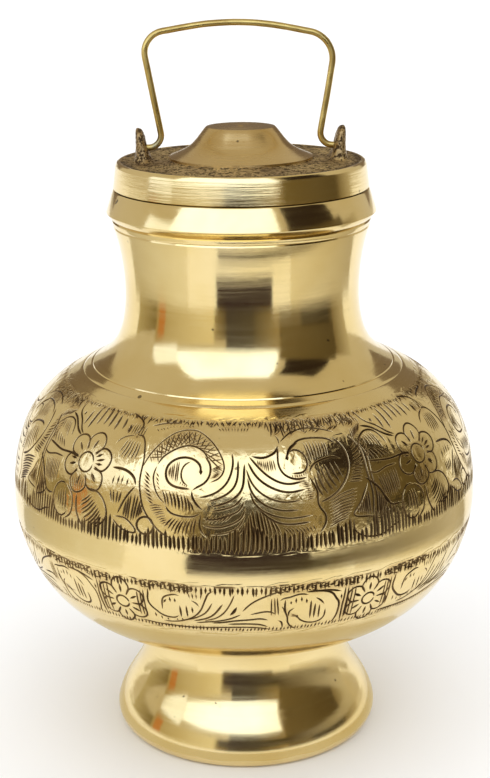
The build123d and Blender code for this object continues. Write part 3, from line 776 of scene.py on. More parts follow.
def engraved_strip(cuts, width, height, columns, rows):
    """A triangle mesh of the unrolled band with every cut as a V-shaped groove.
    Returns places (x, y), depths, triangles and how close the cuts stand round each place."""
    places, edges = [], []

    def chain(points):
        base = len(places)
        places.extend(points)
        edges.extend((base + i, base + i + 1) for i in range(len(points) - 1))

    for path, half in cuts:
        low, high = path[:, 0].min() - 1, path[:, 0].max() + 1
        for shift in (-width, 0, width):
            if high + shift < 0 or low + shift > width:
                continue
            moved = path + (shift, 0)
            moved[:, 1] = np.clip(moved[:, 1], BAND_MARGIN, height - BAND_MARGIN)
            tangent = np.gradient(moved, axis=0)
            tangent /= np.maximum(np.linalg.norm(tangent, axis=1), 1e-9)[:, None]
            side = np.stack([-tangent[:, 1], tangent[:, 0]], axis=1) * half[:, None]
            left, right = (moved + side)[1:-1], (moved - side)[1:-1]
            base = len(places)
            chain(list(moved))
            tail = base + len(moved) - 1
            for flank in (left, right):
                first = len(places)
                chain(list(flank))
                edges.extend([(base, first), (first + len(flank) - 1, tail)])

    across = np.linspace(0, width, columns + 1)
    upright = np.linspace(0, height, rows + 1)
    chain([(x, 0.0) for x in across])
    chain([(x, height) for x in across])
    chain([(0.0, y) for y in upright])
    chain([(width, y) for y in upright])
    places.extend((x, y) for x in across[1:-1] for y in upright[1:-1])

    result = delaunay_2d_cdt([Vector(p) for p in places], edges, [], 0, 1e-4)
    flat = np.array([tuple(v) for v in result[0]])
    triangles = np.array([f for f in result[2] if len(f) == 3])
    centres = flat[triangles].mean(axis=1)
    inside = (centres[:, 0] > 0) & (centres[:, 0] < width)
    inside &= (centres[:, 1] > 0) & (centres[:, 1] < height)
    triangles = triangles[inside]

    samples = []
    for path, half in cuts:
        run = arc_length(path)
        for d in np.arange(0, run[-1], SAMPLE_STEP):
            x, y, w = (np.interp(d, run, values) for values in (path[:, 0], path[:, 1], half))
            for shift in (-width, 0, width):
                if -1 < x + shift < width + 1:
                    samples.append((x + shift, y, w))
    tree = kdtree.KDTree(len(samples))
    for i, (x, y, w) in enumerate(samples):
        tree.insert((x, y, 0), i)
    tree.balance()
    widest = max(w for _, _, w in samples)
    depth = np.zeros(len(flat))
    for i, (x, y) in enumerate(flat):
        for _, j, distance in tree.find_range((x, y, 0), widest):
            w = samples[j][2]
            if distance < w:
                deep = (1 - distance / w) * w / (GROOVE_WIDTH / 2) * GROOVE_DEPTH
                depth[i] = max(depth[i], deep)
    crowd = crowding(np.array(samples)[:, :2], flat, width, height)
    return flat, np.minimum(depth, GROOVE_DEEPEST * GROOVE_DEPTH), triangles, crowd


def crowding(samples, flat, width, height, cell=0.2, reach=4):
    """How close the cuts stand round each place: 1 is very close."""
    cells = [int(width / cell), int(height / cell)]
    counts = np.histogram2d(samples[:, 0], samples[:, 1], cells, [[0, width], [0, height]])[0]
    kernel = np.ones(2 * reach + 1)
    counts = np.concatenate([counts] * 3)       # the band meets itself
    counts = np.apply_along_axis(np.convolve, 0, counts, kernel, "same")[cells[0]:2 * cells[0]]
    counts = np.apply_along_axis(np.convolve, 1, counts, kernel, "same")
    column = np.clip((flat[:, 0] / width * cells[0]).astype(int), 0, cells[0] - 1)
    row = np.clip((flat[:, 1] / height * cells[1]).astype(int), 0, cells[1] - 1)
    return counts[column, row] / CROWDED


def wrapped(flat, depth, outline, radius, low_run):
    """Wraps the strip round the pot: x becomes the angle and y the run along the outline."""
    run = arc_length(outline)
    tangent = np.gradient(outline, axis=0)
    tangent /= np.linalg.norm(tangent, axis=1)[:, None]
    at = [np.interp(flat[:, 1] + low_run, run, values) for values in (*outline.T, *tangent.T)]
    r, z, tangent_r, tangent_z = at
    out_r, out_z = tangent_z, -tangent_r
    size = np.hypot(out_r, out_z)
    out_r, out_z = out_r / size, out_z / size
    angle = flat[:, 0] / radius - math.pi / 2 - math.radians(PATTERN_TURN)
    r, z = r - out_r * depth, z - out_z * depth
    c, s = np.cos(angle), np.sin(angle)
    place = np.stack([r * c, r * s, z], axis=1) * MM
    normal = np.stack([out_r * c, out_r * s, out_z], axis=1)
    return place, normal


def engraved_body(name, outline, rest, band, draw, radius, repeats, row_count):
    """A body piece whose outer outline carries an engraved band. rest closes the section."""
    run = arc_length(outline)
    low_run, high_run = (np.interp(z, outline[:, 1], run) for z in band)
    height = high_run - low_run
    cuts, width = repeated(draw, height, radius, repeats)
    flat, depth, triangles, crowd = engraved_strip(cuts, width, height, BAND_COLUMNS, row_count)
    place, normal = wrapped(flat, depth, outline, radius, low_run)

    below, above = smooth_runs(outline, low_run, high_run)
    vertices, faces = turned([*above, *rest, *below], BAND_COLUMNS, close=False)
    turn = math.radians(-90 - PATTERN_TURN)
    c, s = math.cos(turn), math.sin(turn)
    vertices = [(x * c - y * s, x * s + y * c, z) for x, y, z in vertices]
    base = len(vertices)
    all_vertices = vertices + [tuple(p) for p in place]
    all_faces = faces + [tuple(int(i) + base for i in t) for t in triangles]
    piece = new_object(name, all_vertices, all_faces)
    set_attribute(piece, "groove", [0.0] * base + list(depth / GROOVE_DEPTH))
    set_attribute(piece, "crowd", [0.0] * base + list(crowd))
    outward = np.concatenate([np.zeros((base, 3)), normal])
    set_attribute(piece, "outward", outward, "FLOAT_VECTOR")
    tidy(piece, merge=2e-6)
    shade_band(piece)
    return piece


def smooth_runs(outline, low_run, high_run):
    """The parts of an outline below and above a band, each ending exactly at the band's edge."""
    run = arc_length(outline)
    low = [np.interp(low_run, run, outline[:, k]) for k in (0, 1)]
    high = [np.interp(high_run, run, outline[:, k]) for k in (0, 1)]
    below = [*outline[run < low_run - JOIN_GAP], low]
    above = [high, *outline[run > high_run + JOIN_GAP]]
    return below, above


def set_attribute(piece, name, values, kind="FLOAT"):
    attribute = piece.data.attributes.new(name, kind, "POINT")
    key = "value" if kind == "FLOAT" else "vector"
    attribute.data.foreach_set(key, np.array(values, np.float32).ravel())


def shade_band(piece):
    """Gives the plain surface its true turned normals, and the grooves their own flat ones."""
    mesh = piece.data
    count = len(mesh.vertices)
    groove = np.zeros(count, np.float32)
    mesh.attributes["groove"].data.foreach_get("value", groove)
    outward = np.zeros(count * 3, np.float32)
    mesh.attributes["outward"].data.foreach_get("vector", outward)
    outward = outward.reshape(-1, 3)
    known = np.linalg.norm(outward, axis=1) > 0.5
    corner = [Vector(n.vector) for n in mesh.corner_normals]
    normals = []
    for face in mesh.polygons:
        members = [mesh.loops[i].vertex_index for i in face.loop_indices]
        cut = max(groove[v] for v in members) > 0.04
        for i, v in zip(face.loop_indices, members):
            if cut:
                normals.append(face.normal)
            elif known[v]:
                normals.append(Vector(outward[v]))
            else:
                normals.append(corner[i])
    mesh.normals_split_custom_set([tuple(n) for n in normals])
    mesh.attributes.remove(mesh.attributes["outward"])


# ---------------------------------------------------------------- materials

def add_node(tree, kind, inputs=None, **settings):
    made = tree.nodes.new("ShaderNode" + kind)
    for key, value in settings.items():
        setattr(made, key, value)
    for key, value in (inputs or {}).items():
        if isinstance(value, bpy.types.NodeSocket):
            tree.links.new(value, made.inputs[key])
        else:
            made.inputs[key].default_value = value
    return made


def new_material(name, kind="BsdfPrincipled"):
    """An otherwise empty material with one shader."""
    material = bpy.data.materials.new(name)
    material.use_nodes = True
    tree = material.node_tree
    tree.nodes.clear()
    output = add_node(tree, "OutputMaterial")
    shader = add_node(tree, kind)
    tree.links.new(shader.outputs[0], output.inputs["Surface"])
    return material, tree, shader


def dress(tree, shader, colour, rough, strength, distance, height, metallic):
    """Gives a shader its colour, roughness, bump (distance in metres) and metallic share."""
    bump = add_node(tree, "Bump", {"Strength": strength, "Distance": distance, "Height": height})
    tree.links.new(colour, shader.inputs["Base Color"])
    tree.links.new(rough, shader.inputs["Roughness"])
    tree.links.new(bump.outputs[0], shader.inputs["Normal"])
    shader.inputs["Metallic"].default_value = metallic


def arithmetic(tree, operation, a, b=0.0, clamp=False):
    made = add_node(tree, "Math", {0: a, 1: b}, operation=operation, use_clamp=clamp)
    return made.outputs[0]


def mixed(tree, share, a, b):
    made = add_node(tree, "Mix", data_type="RGBA")
    for key, value in ((0, share), (6, a), (7, b)):
        if isinstance(value, bpy.types.NodeSocket):
            tree.links.new(value, made.inputs[key])
        else:
            made.inputs[key].default_value = value
    return made.outputs[2]


def stepped(tree, value, low, high, to_low=0.0, to_high=1.0):
    made = add_node(
        tree, "MapRange",
        {"Value": value, "From Min": low, "From Max": high, "To Min": to_low, "To Max": to_high},
        interpolation_type="SMOOTHSTEP",
    )
    return made.outputs[0]


def object_place(tree):
    """The three coordinates of a place on the piece."""
    coordinates = add_node(tree, "TexCoord").outputs["Object"]
    return add_node(tree, "SeparateXYZ", {0: coordinates}).outputs


def axis_distance(tree, x, y):
    squares = [arithmetic(tree, "MULTIPLY", side, side) for side in (x, y)]
    return arithmetic(tree, "SQRT", arithmetic(tree, "ADD", *squares))


def lathe_lines(tree, fineness, slow=40.0):
    """Noise drawn out round the axis: fine lines left by the turning tool and the polish."""
    x, y, z = object_place(tree)
    radius = axis_distance(tree, x, y)
    stretched = add_node(tree, "CombineXYZ", {
        0: arithmetic(tree, "MULTIPLY", z, fineness),
        1: arithmetic(tree, "MULTIPLY", radius, fineness),
        2: arithmetic(tree, "MULTIPLY", x, slow),
    })
    settings = {
        "Vector": stretched.outputs[0],
        "W": arithmetic(tree, "MULTIPLY", y, slow),
        "Scale": 1.0,
        "Detail": 4.0,
        "Roughness": 0.7,
    }
    return add_node(tree, "TexNoise", settings, noise_dimensions="4D").outputs[0]


def cloud(tree, scale, detail=3.0):
    coordinates = add_node(tree, "TexCoord").outputs["Object"]
    return add_node(tree, "TexNoise", {"Vector": coordinates, "Scale": scale, "Detail": detail}).outputs[0]


GOLD = (0.80, 0.615, 0.265, 1)
PALE_GOLD = (0.86, 0.69, 0.35, 1)
BROWN_GOLD = (0.62, 0.40, 0.15, 1)
SMUDGE = (0.44, 0.27, 0.09, 1)
BROWN_PATINA = (0.20, 0.115, 0.04, 1)
PATINA = (0.07, 0.04, 0.016, 1)
DOME_TONES = ((0.70, 0.52, 0.24, 1), (0.58, 0.40, 0.155, 1))


def brass(
    name, line_strength, roughness, engraved=False, lines=900.0, tones=(PALE_GOLD, GOLD), line_depth=0.06,
):
    """Polished turned brass, with tool lines, faint tarnish and small dark specks."""
    material, tree, shader = new_material(name)
    pale, gold = tones
    fine = lathe_lines(tree, lines)
    broad = lathe_lines(tree, lines / 9, 12.0)
    tarnish = cloud(tree, 55.0)
    colour = mixed(tree, stepped(tree, tarnish, 0.35, 0.75), pale, gold)
    colour = mixed(tree, stepped(tree, broad, 0.60, 0.80, 0.0, 0.35), colour, BROWN_GOLD)
    colour = mixed(tree, stepped(tree, cloud(tree, 23.0, 5.0), 0.58, 0.80, 0.0, 0.5), colour, BROWN_GOLD)
    specks = stepped(tree, cloud(tree, 420.0, 1.0), 0.765, 0.80, 0.0, 0.75)
    colour = mixed(tree, specks, colour, PATINA)
    rough = stepped(tree, fine, 0.25, 0.8, roughness * 0.7, roughness * 1.5)
    height = arithmetic(tree, "ADD", arithmetic(tree, "MULTIPLY", fine, 0.3), broad)
    if engraved:
        groove = add_node(tree, "Attribute", attribute_name="groove").outputs["Fac"]
        crowd = add_node(tree, "Attribute", attribute_name="crowd").outputs["Fac"]
        patchy = stepped(tree, cloud(tree, 160.0), 0.25, 0.62, 0.35, 1.0)
        smudge = arithmetic(tree, "MULTIPLY", stepped(tree, crowd, 0.25, 1.6, 0.0, 0.5), patchy)
        colour = mixed(tree, smudge, colour, SMUDGE)
        edge = arithmetic(tree, "MULTIPLY", stepped(tree, groove, 0.02, 0.22), 0.90)
        deep = arithmetic(tree, "MULTIPLY", stepped(tree, groove, 0.22, 0.75), patchy)
        colour = mixed(tree, edge, colour, BROWN_PATINA)
        colour = mixed(tree, deep, colour, PATINA)
        rough = arithmetic(tree, "ADD", rough, arithmetic(tree, "MULTIPLY", edge, 0.35), clamp=True)
        rough = arithmetic(tree, "ADD", rough, arithmetic(tree, "MULTIPLY", smudge, 0.12), clamp=True)
        worked = stepped(tree, crowd, 0.02, 0.30, 0.3, 3.2)
        pitted = arithmetic(tree, "MULTIPLY", cloud(tree, 620.0, 2.0), worked)
        height = arithmetic(tree, "ADD", height, pitted)
    dress(tree, shader, colour, rough, line_strength, line_depth * MM, height, 1.0)
    round_axis = add_node(tree, "Tangent", direction_type="RADIAL", axis="Z")
    tree.links.new(round_axis.outputs[0], shader.inputs["Tangent"])
    shader.inputs["Anisotropic"].default_value = 0.65
    shader.inputs["Anisotropic Rotation"].default_value = 0.25
    return material


def cast_brass(name):
    """Rough sand-cast skin: brass rubbed bright on the grains, black patina between them."""
    material, tree, shader = new_material(name)
    grain = cloud(tree, 2300.0, 3.0)
    lumps = cloud(tree, 900.0, 3.0)
    height = arithmetic(tree, "ADD", grain, lumps)
    bright = stepped(tree, height, 0.86, 1.08)
    stain = stepped(tree, cloud(tree, 110.0, 4.0), 0.35, 0.65)
    base = mixed(tree, stain, (0.36, 0.24, 0.10, 1), (0.62, 0.45, 0.19, 1))
    colour = mixed(tree, bright, PATINA, base)
    x, y, _ = object_place(tree)
    near_rim = stepped(tree, axis_distance(tree, x, y), 26.4 * MM, 28.4 * MM)
    torn = stepped(tree, cloud(tree, 330.0, 3.0), 0.38, 0.58)
    colour = mixed(tree, arithmetic(tree, "MULTIPLY", near_rim, torn), colour, PATINA)
    rough = stepped(tree, height, 0.86, 1.1, 0.7, 0.32)
    dress(tree, shader, colour, rough, 0.9, 0.00022, height, 0.85)
    return material


def wire_brass(name):
    """Drawn brass wire, dulled, with greenish grey where it was heated at the ends."""
    material, tree, shader = new_material(name)
    low = stepped(tree, object_place(tree)[2], (HINGE_Z - 1) * MM, (HINGE_Z + 5) * MM, 0.8, 0.0)
    dull = stepped(tree, cloud(tree, 160.0), 0.35, 0.7)
    colour = mixed(tree, dull, (0.66, 0.49, 0.16, 1), (0.48, 0.33, 0.10, 1))
    scaled = arithmetic(tree, "MULTIPLY", low, stepped(tree, cloud(tree, 300.0), 0.4, 0.6))
    colour = mixed(tree, scaled, colour, (0.24, 0.24, 0.17, 1))
    rough = stepped(tree, cloud(tree, 500.0), 0.3, 0.7, 0.26, 0.42)
    dress(tree, shader, colour, rough, 0.4, 0.00008, cloud(tree, 900.0), 1.0)
    return material


def spelter(name):
    """Brazing metal left as it set: dull yellow, with dark flux in its dimples."""
    material, tree, shader = new_material(name)
    ripples = cloud(tree, 600.0)
    colour = mixed(tree, stepped(tree, ripples, 0.35, 0.65), (0.16, 0.10, 0.04, 1), (0.62, 0.45, 0.18, 1))
    rough = stepped(tree, ripples, 0.3, 0.7, 0.6, 0.35)
    dress(tree, shader, colour, rough, 0.8, 0.0002, ripples, 0.9)
    return material


def rubber(name):
    """Dark red sealing washer with a fine matt grain."""
    material, tree, shader = new_material(name)
    grain = cloud(tree, 1800.0)
    faded = stepped(tree, cloud(tree, 200.0), 0.3, 0.7)
    colour = mixed(tree, faded, (0.16, 0.035, 0.025, 1), (0.10, 0.025, 0.02, 1))
    rough = stepped(tree, grain, 0.3, 0.7, 0.65, 0.8)
    dress(tree, shader, colour, rough, 0.3, 0.0001, grain, 0.0)
    return material


# ---------------------------------------------------------------- pieces

def make_neck_and_shoulder():
    outer = smooth_outline(SHOULDER_OUTLINE, (0, 1), (0.35, 1))
    mouth = [
        (SPIGOT_RADIUS, COLLAR_TOP_Z), (SPIGOT_RADIUS, MOUTH_TOP_Z - MOUTH_CHAMFER),
        (SPIGOT_RADIUS - MOUTH_CHAMFER, MOUTH_TOP_Z), (MOUTH_RADIUS + MOUTH_CHAMFER, MOUTH_TOP_Z),
        (MOUTH_RADIUS, MOUTH_TOP_Z - MOUTH_CHAMFER),
    ]
    inner = [p for p in inset(outer)[::-1] if LAP_TOP_Z < p[1] < NECK_INNER_TOP_Z]
    inner = inner[:-1:2] + [inner[-1]]          # every other point is enough inside
    lap = [(inner[-1][0], LAP_TOP_Z), (LAP_RADIUS, LAP_TOP_Z), (LAP_RADIUS, BELLY_Z)]
    return engraved_body(
        "neck_and_shoulder_look", scored(outer, SHOULDER_LINES),
        COLLAR_OUTLINE + mouth + NECK_INNER_OUTLINE + inner + lap,
        UPPER_BAND, upper_strokes, UPPER_RADIUS, UPPER_REPEATS, 20,
    )


def make_lower_bowl():
    outer = smooth_outline(BOWL_OUTLINE, (1, 0), (0, 1))
    tongue = [(LAP_RADIUS, BELLY_Z), (LAP_RADIUS, LAP_TOP_Z), (TONGUE_INNER_RADIUS, LAP_TOP_Z)]
    floor_z = BOWL_FLOOR_Z
    bottom = [(0, floor_z + WALL), (0, floor_z), (BOWL_FLOOR_RADIUS - 2, floor_z)]
    return engraved_body(
        "lower_bowl_look", outer, tongue + list(inset(outer)[::-1]) + bottom,
        LOWER_BAND, lower_strokes, LOWER_RADIUS, LOWER_REPEATS, 9,
    )


def make_foot():
    waist = (-0.35, 1)                          # the outline's direction between rim and flare
    outer = np.concatenate([
        smooth_outline(FOOT_RIM_OUTLINE, (1, 0.4), waist, 0.5)[:-1],
        smooth_outline(FOOT_FLARE_OUTLINE, waist, (0.15, 1), 0.7),
    ])
    inner = smooth_outline(FOOT_INNER_OUTLINE, (-0.1, -1), (-0.35, -1))
    piece = new_object("foot_ring_look", *turned([*outer, *inner]))
    tidy(piece)
    return piece


def dome_flank():
    """The hollow flank of the dome, from its base to the edge of its flat top."""
    rise = unit((DOME_TOP_RADIUS - DOME_RADIUS, DOME_TOP_Z - DOME_BASE_Z))
    middle = np.array([(DOME_RADIUS + DOME_TOP_RADIUS) / 2, (DOME_BASE_Z + DOME_TOP_Z) / 2])
    middle += np.array([-rise[1], rise[0]]) * DOME_SAG
    foot, head = (DOME_RADIUS - 0.25, DOME_BASE_Z), (DOME_TOP_RADIUS + 0.3, DOME_TOP_Z - 0.3)
    return smooth_outline([foot, middle, head], (-1, 0.42), (-1, 1.15), 0.6)


def make_lid():
    cast_ends = (DOME_RADIUS, CAST_OUTER_RADIUS), (DOME_STEP_Z - 0.1, CAST_Z)
    cast_radii = np.linspace(CAST_OUTER_RADIUS, DOME_RADIUS + 0.15, 36)[1:]
    outline = [
        (LID_BORE_RADIUS, SKIRT_Z), (SKIRT_RADIUS - 0.1, SKIRT_Z), (SKIRT_RADIUS, SKIRT_Z + 0.12),
        *RIM_OUTLINE, (CAST_OUTER_RADIUS, CAST_Z),
        *((r, np.interp(r, *cast_ends)) for r in cast_radii),
        (DOME_RADIUS, DOME_STEP_Z), (DOME_RADIUS, DOME_BASE_Z - 0.08), *dome_flank(),
        (DOME_TOP_RADIUS, DOME_TOP_Z - 0.05), (DOME_TOP_RADIUS - 0.25, DOME_TOP_Z),
        *((r, DOME_TOP_Z) for r in (6.5, 4.5, 2.5, 1.2, 0.7)),
        (0.45, DOME_TOP_Z - 0.25), (0, DOME_TOP_Z - 0.4), (0, DOME_TOP_Z - WALL),
        (DOME_TOP_RADIUS - 1.1, DOME_TOP_Z - WALL), (DOME_RADIUS - 2.3, LID_SEAT_Z),
        (LID_BORE_RADIUS, LID_SEAT_Z),
    ]
    female_turn = 360 * (FEMALE_START_Z - MALE_START_Z - THREAD_LEAD / 2) / THREAD_LEAD
    ridge = thread(LID_BORE_RADIUS, -THREAD_DEPTH, FEMALE_START_Z, FEMALE_HEIGHT, female_turn)
    piece = new_object("lid_look", *joined(turned(outline, LID_SEGMENTS), ridge))
    for vertex in piece.data.vertices:
        roughen_ring(vertex)
    tidy(piece)
    return piece


def roughen_ring(vertex):
    """Moves a vertex of the lid's rough ring up or down, as the sand left it."""
    radius = math.hypot(vertex.co.x, vertex.co.y) / MM
    if vertex.co.z < (CAST_Z - 0.3) * MM or vertex.co.z > (DOME_STEP_Z + 0.1) * MM:
        return
    edge = CAST_OUTER_RADIUS + 0.5 * noise.noise(vertex.co * 260)
    share = min(1.0, max(0.0, (edge - radius) / 0.5), max(0.0, (radius - DOME_RADIUS) / 0.4))
    lumps = noise.fractal(vertex.co * 900, 0.6, 2.1, 4)
    vertex.co.z += share * (0.13 * lumps - 0.14) * MM


def make_lug(name, side):
    """A cast ear: it flares at its root, leans in on its inner face and is rounded on top."""
    around, levels = 36, 26
    vertices = []
    for i in range(levels + 1):
        share = i / levels
        z = LUG_BOTTOM_Z + (LUG_TOP_Z - LUG_BOTTOM_Z) * share
        flare = math.exp(-share * 9)
        rounding = max(0.0, (share - LUG_ROUND_FROM) / (1 - LUG_ROUND_FROM))
        cap = math.sqrt(max(0.0, 1 - rounding ** 2.2))
        thick = LUG_THICK[0] + (LUG_THICK[1] - LUG_THICK[0]) * min(1, share * 1.02)
        thick = thick * (0.25 + 0.75 * cap) + 2.2 * flare
        wide = (LUG_WIDE[0] + (LUG_WIDE[1] - LUG_WIDE[0]) * share) * cap + 2.6 * flare
        outer = LUG_OUTER_X - 0.35 * (1 - cap) + 1.0 * flare
        middle = outer - thick / 2
        for k in range(around):
            angle = 2 * math.pi * k / around
            c, s = math.cos(angle), math.sin(angle)
            x = middle + thick / 2 * math.copysign(abs(c) ** 0.62, c)
            y = wide / 2 * math.copysign(abs(s) ** 0.8, s)
            place = Vector((side * x, y, z)) * MM
            lumps = noise.fractal(place * 420, 0.7, 2.1, 4) * 0.16 * MM
            vertices.append(place + Vector((side * c, s, 0)) * lumps)
    piece = new_object(name, vertices, tube_faces(levels + 1, around))
    tidy(piece, 50)
    hole = make_hole()
    cut = piece.modifiers.new("hole", "BOOLEAN")
    cut.operation, cut.solver, cut.object = "DIFFERENCE", "EXACT", hole
    apply_modifiers(piece)
    bpy.data.objects.remove(hole)
    piece.data.shade_smooth()
    piece.data.set_sharp_from_angle(angle=math.radians(50))
    return piece


def tube_faces(rings, around):
    """Faces of a closed tube whose vertices come ring by ring."""
    faces = []
    for i in range(rings - 1):
        for k in range(around):
            a, b = i * around + k, i * around + (k + 1) % around
            faces.append((a, b, b + around, a + around))
    faces.append(tuple(range(around - 1, -1, -1)))
    faces.append(tuple((rings - 1) * around + k for k in range(around)))
    return faces


def make_hole():
    """Cutter for the hinge hole, along X through both lugs."""
    count = 32
    angles = [2 * math.pi * k / count for k in range(count)]
    ring = [(HOLE_RADIUS * math.cos(a), HINGE_Z + HOLE_RADIUS * math.sin(a)) for a in angles]
    vertices = [(x * MM, y * MM, z * MM) for x in (-40, 40) for y, z in ring]
    return new_object("hole_cutter", vertices, tube_faces(2, count))


def apply_modifiers(piece):
    graph = bpy.context.evaluated_depsgraph_get()
    piece.data = bpy.data.meshes.new_from_object(piece.evaluated_get(graph))
    piece.modifiers.clear()


def make_bail():
    """The bent wire, with slight flats and a wavering line where it was bent by hand."""
    line = even(rounded(BAIL_CORNERS, BAIL_BENDS, 8), BAIL_STEP)
    around = 20
    vertices = []
    tangent = np.gradient(line, axis=0)
    tangent /= np.linalg.norm(tangent, axis=1)[:, None]
    total = len(line)
    for i, (x, z) in enumerate(line):
        end = min(i, total - 1 - i)
        free = min(1.0, max(0.0, end * BAIL_STEP - 8) / 12)     # 0 near the lugs, 1 along the span
        radius = WIRE_RADIUS * (0.8, 0.95, 1.0)[min(end, 2)]
        centre = Vector((x, 0, z)) * MM
        centre += noise.noise_vector(centre * 60) * BAIL_WAVER * MM * free
        side = Vector((-tangent[i][1], 0, tangent[i][0]))
        for k in range(around):
            angle = 2 * math.pi * k / around
            out = side * math.cos(angle) + Vector((0, 1, 0)) * math.sin(angle)
            swell = 1 + 0.03 * noise.noise(centre * 400 + out) * free
            vertices.append(centre + out * radius * swell * MM)
    piece = new_object("bail_handle_look", vertices, tube_faces(total, around))
    tidy(piece, 40)
    return piece


def even(line, step):
    """The same line with points a constant distance apart."""
    run = arc_length(line)
    marks = np.linspace(0, run[-1], int(run[-1] / step) + 1)
    return np.stack([np.interp(marks, run, line[:, k]) for k in (0, 1)], axis=1)


def finish_piece(piece, material, body, slot, *nodes):
    piece.data.materials.clear()
    piece.data.materials.append(material)
    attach(piece, body)
    if nodes:
        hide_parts(*nodes)
    return piece


body_brass = brass("turned_brass", 0.45, 0.12)
band_brass = brass("engraved_brass", 0.45, 0.13, engraved=True)
lid_brass = brass("lid_brass", 0.9, 0.14, lines=1900.0, line_depth=0.13)
dome_brass = brass("dome_brass", 0.30, 0.22, tones=DOME_TONES)
cast_skin = cast_brass("cast_skin")

finish_piece(make_neck_and_shoulder(), band_brass, "pot", "body_brass", "neck_and_shoulder")
ridge = new_object("spigot_thread_look", *thread(SPIGOT_RADIUS, THREAD_DEPTH, MALE_START_Z, MALE_HEIGHT, 0))
tidy(ridge)
finish_piece(ridge, body_brass, "pot", "body_brass")
finish_piece(make_lower_bowl(), band_brass, "pot", "body_brass", "lower_bowl")
finish_piece(make_foot(), body_brass, "pot", "body_brass", "foot_ring")
lid = finish_piece(make_lid(), lid_brass, "lid", "lid_brass", "lid")
lid.data.materials.append(cast_skin)
lid.data.materials.append(dome_brass)
for face in lid.data.polygons:
    reach = math.hypot(face.center.x, face.center.y) / MM
    level = face.center.z / MM
    if DOME_RADIUS < reach < CAST_OUTER_RADIUS and CAST_Z - 0.6 < level < DOME_STEP_Z + 0.1:
        face.material_index = 1                 # cast_skin
    if reach < DOME_RADIUS and level > DOME_STEP_Z:
        face.material_index = 2                 # dome_brass
for lug_name, lug_side in (("lug_left_look", -1), ("lug_right_look", 1)):
    finish_piece(make_lug(lug_name, lug_side), cast_skin, "lid", "lid_brass")
finish_piece(make_bail(), wire_brass("wire"), "bail", "wire_brass", "bail_handle")

for node_name, material in (
    ("belly_braze", spelter("belly_spelter")),
    ("foot_braze", spelter("foot_spelter")),
    ("lid_washer", rubber("washer_rubber")),
):
    cad_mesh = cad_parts[node_name].data
    cad_mesh.materials.clear()
    cad_mesh.materials.append(material)


# ---------------------------------------------------------------- studio

def glow(name, colour, strength, far_colour):
    """A light of its own, graded from colour to far_colour by the share attribute."""
    material, tree, shine = new_material(name, "Emission")
    share = add_node(tree, "Attribute", attribute_name="share").outputs["Fac"]
    graded = mixed(tree, share, (*colour, 1), (*(far_colour or colour), 1))
    tree.links.new(graded, shine.inputs["Color"])
    shine.inputs["Strength"].default_value = strength
    return material


def swept_card(name, azimuths, columns, edge, colour, strength, far_colour):
    """A card that only reflections see: an edge of (distance, height) places in metres, swept
    round the pot. Azimuth 0 is towards the camera, positive to its right, in degrees. The colour
    goes from colour at the first azimuth to far_colour at the second."""
    rows = len(edge)
    vertices, faces = [], []
    for k in range(columns + 1):
        azimuth = math.radians(azimuths[0] + (azimuths[1] - azimuths[0]) * k / columns - VIEW_TURN)
        vertices += [(math.sin(azimuth) * d, -math.cos(azimuth) * d, z) for d, z in edge]
    for k in range(columns):
        for a in range(k * rows, (k + 1) * rows - 1):
            faces.append((a, a + rows, a + rows + 1, a + 1))
    made = new_object(name, vertices, faces)
    set_attribute(made, "share", [k // rows / columns for k in range(len(vertices))])
    made.data.materials.append(glow(name, colour, strength, far_colour))
    made.visible_camera = False
    made.visible_diffuse = False
    made.visible_shadow = False


def dome_card(name, azimuths, elevations, colour, strength=1.0, reach=DOME_REACH, far_colour=None):
    """A card on the sphere round the pot. Elevations are in degrees."""
    angles = np.radians(np.linspace(*elevations, 13))
    edge = [(reach * math.cos(a), DOME_HEIGHT + reach * math.sin(a)) for a in angles]
    swept_card(name, azimuths, 24, edge, colour, strength, far_colour)


def floor_card(name, azimuths, near, far, colour, far_colour=None):
    """A flat card lying just above the floor, between two distances from the pot."""
    edge = [(near, FLOOR_CARD_Z), (far, FLOOR_CARD_Z)]
    swept_card(name, azimuths, 16, edge, colour, 1.0, far_colour)


def upright_card(name, azimuths, distance, heights, colour, far_colour=None):
    """A low curved card that stands near the pot."""
    edge = [(distance, z) for z in heights]
    swept_card(name, azimuths, 12, edge, colour, 1.0, far_colour)


h = FLOOR_HALF
floor = new_object("floor", [(-h, -h, 0), (h, -h, 0), (h, h, 0), (-h, h, 0)], [(0, 1, 2, 3)])
floor_material, floor_tree, floor_shader = new_material("floor_paint")
floor_shader.inputs["Base Color"].default_value = (0.92, 0.92, 0.92, 1)
floor_shader.inputs["Roughness"].default_value = 0.8
floor_shader.inputs["Specular IOR Level"].default_value = 0.1
floor.data.materials.append(floor_material)


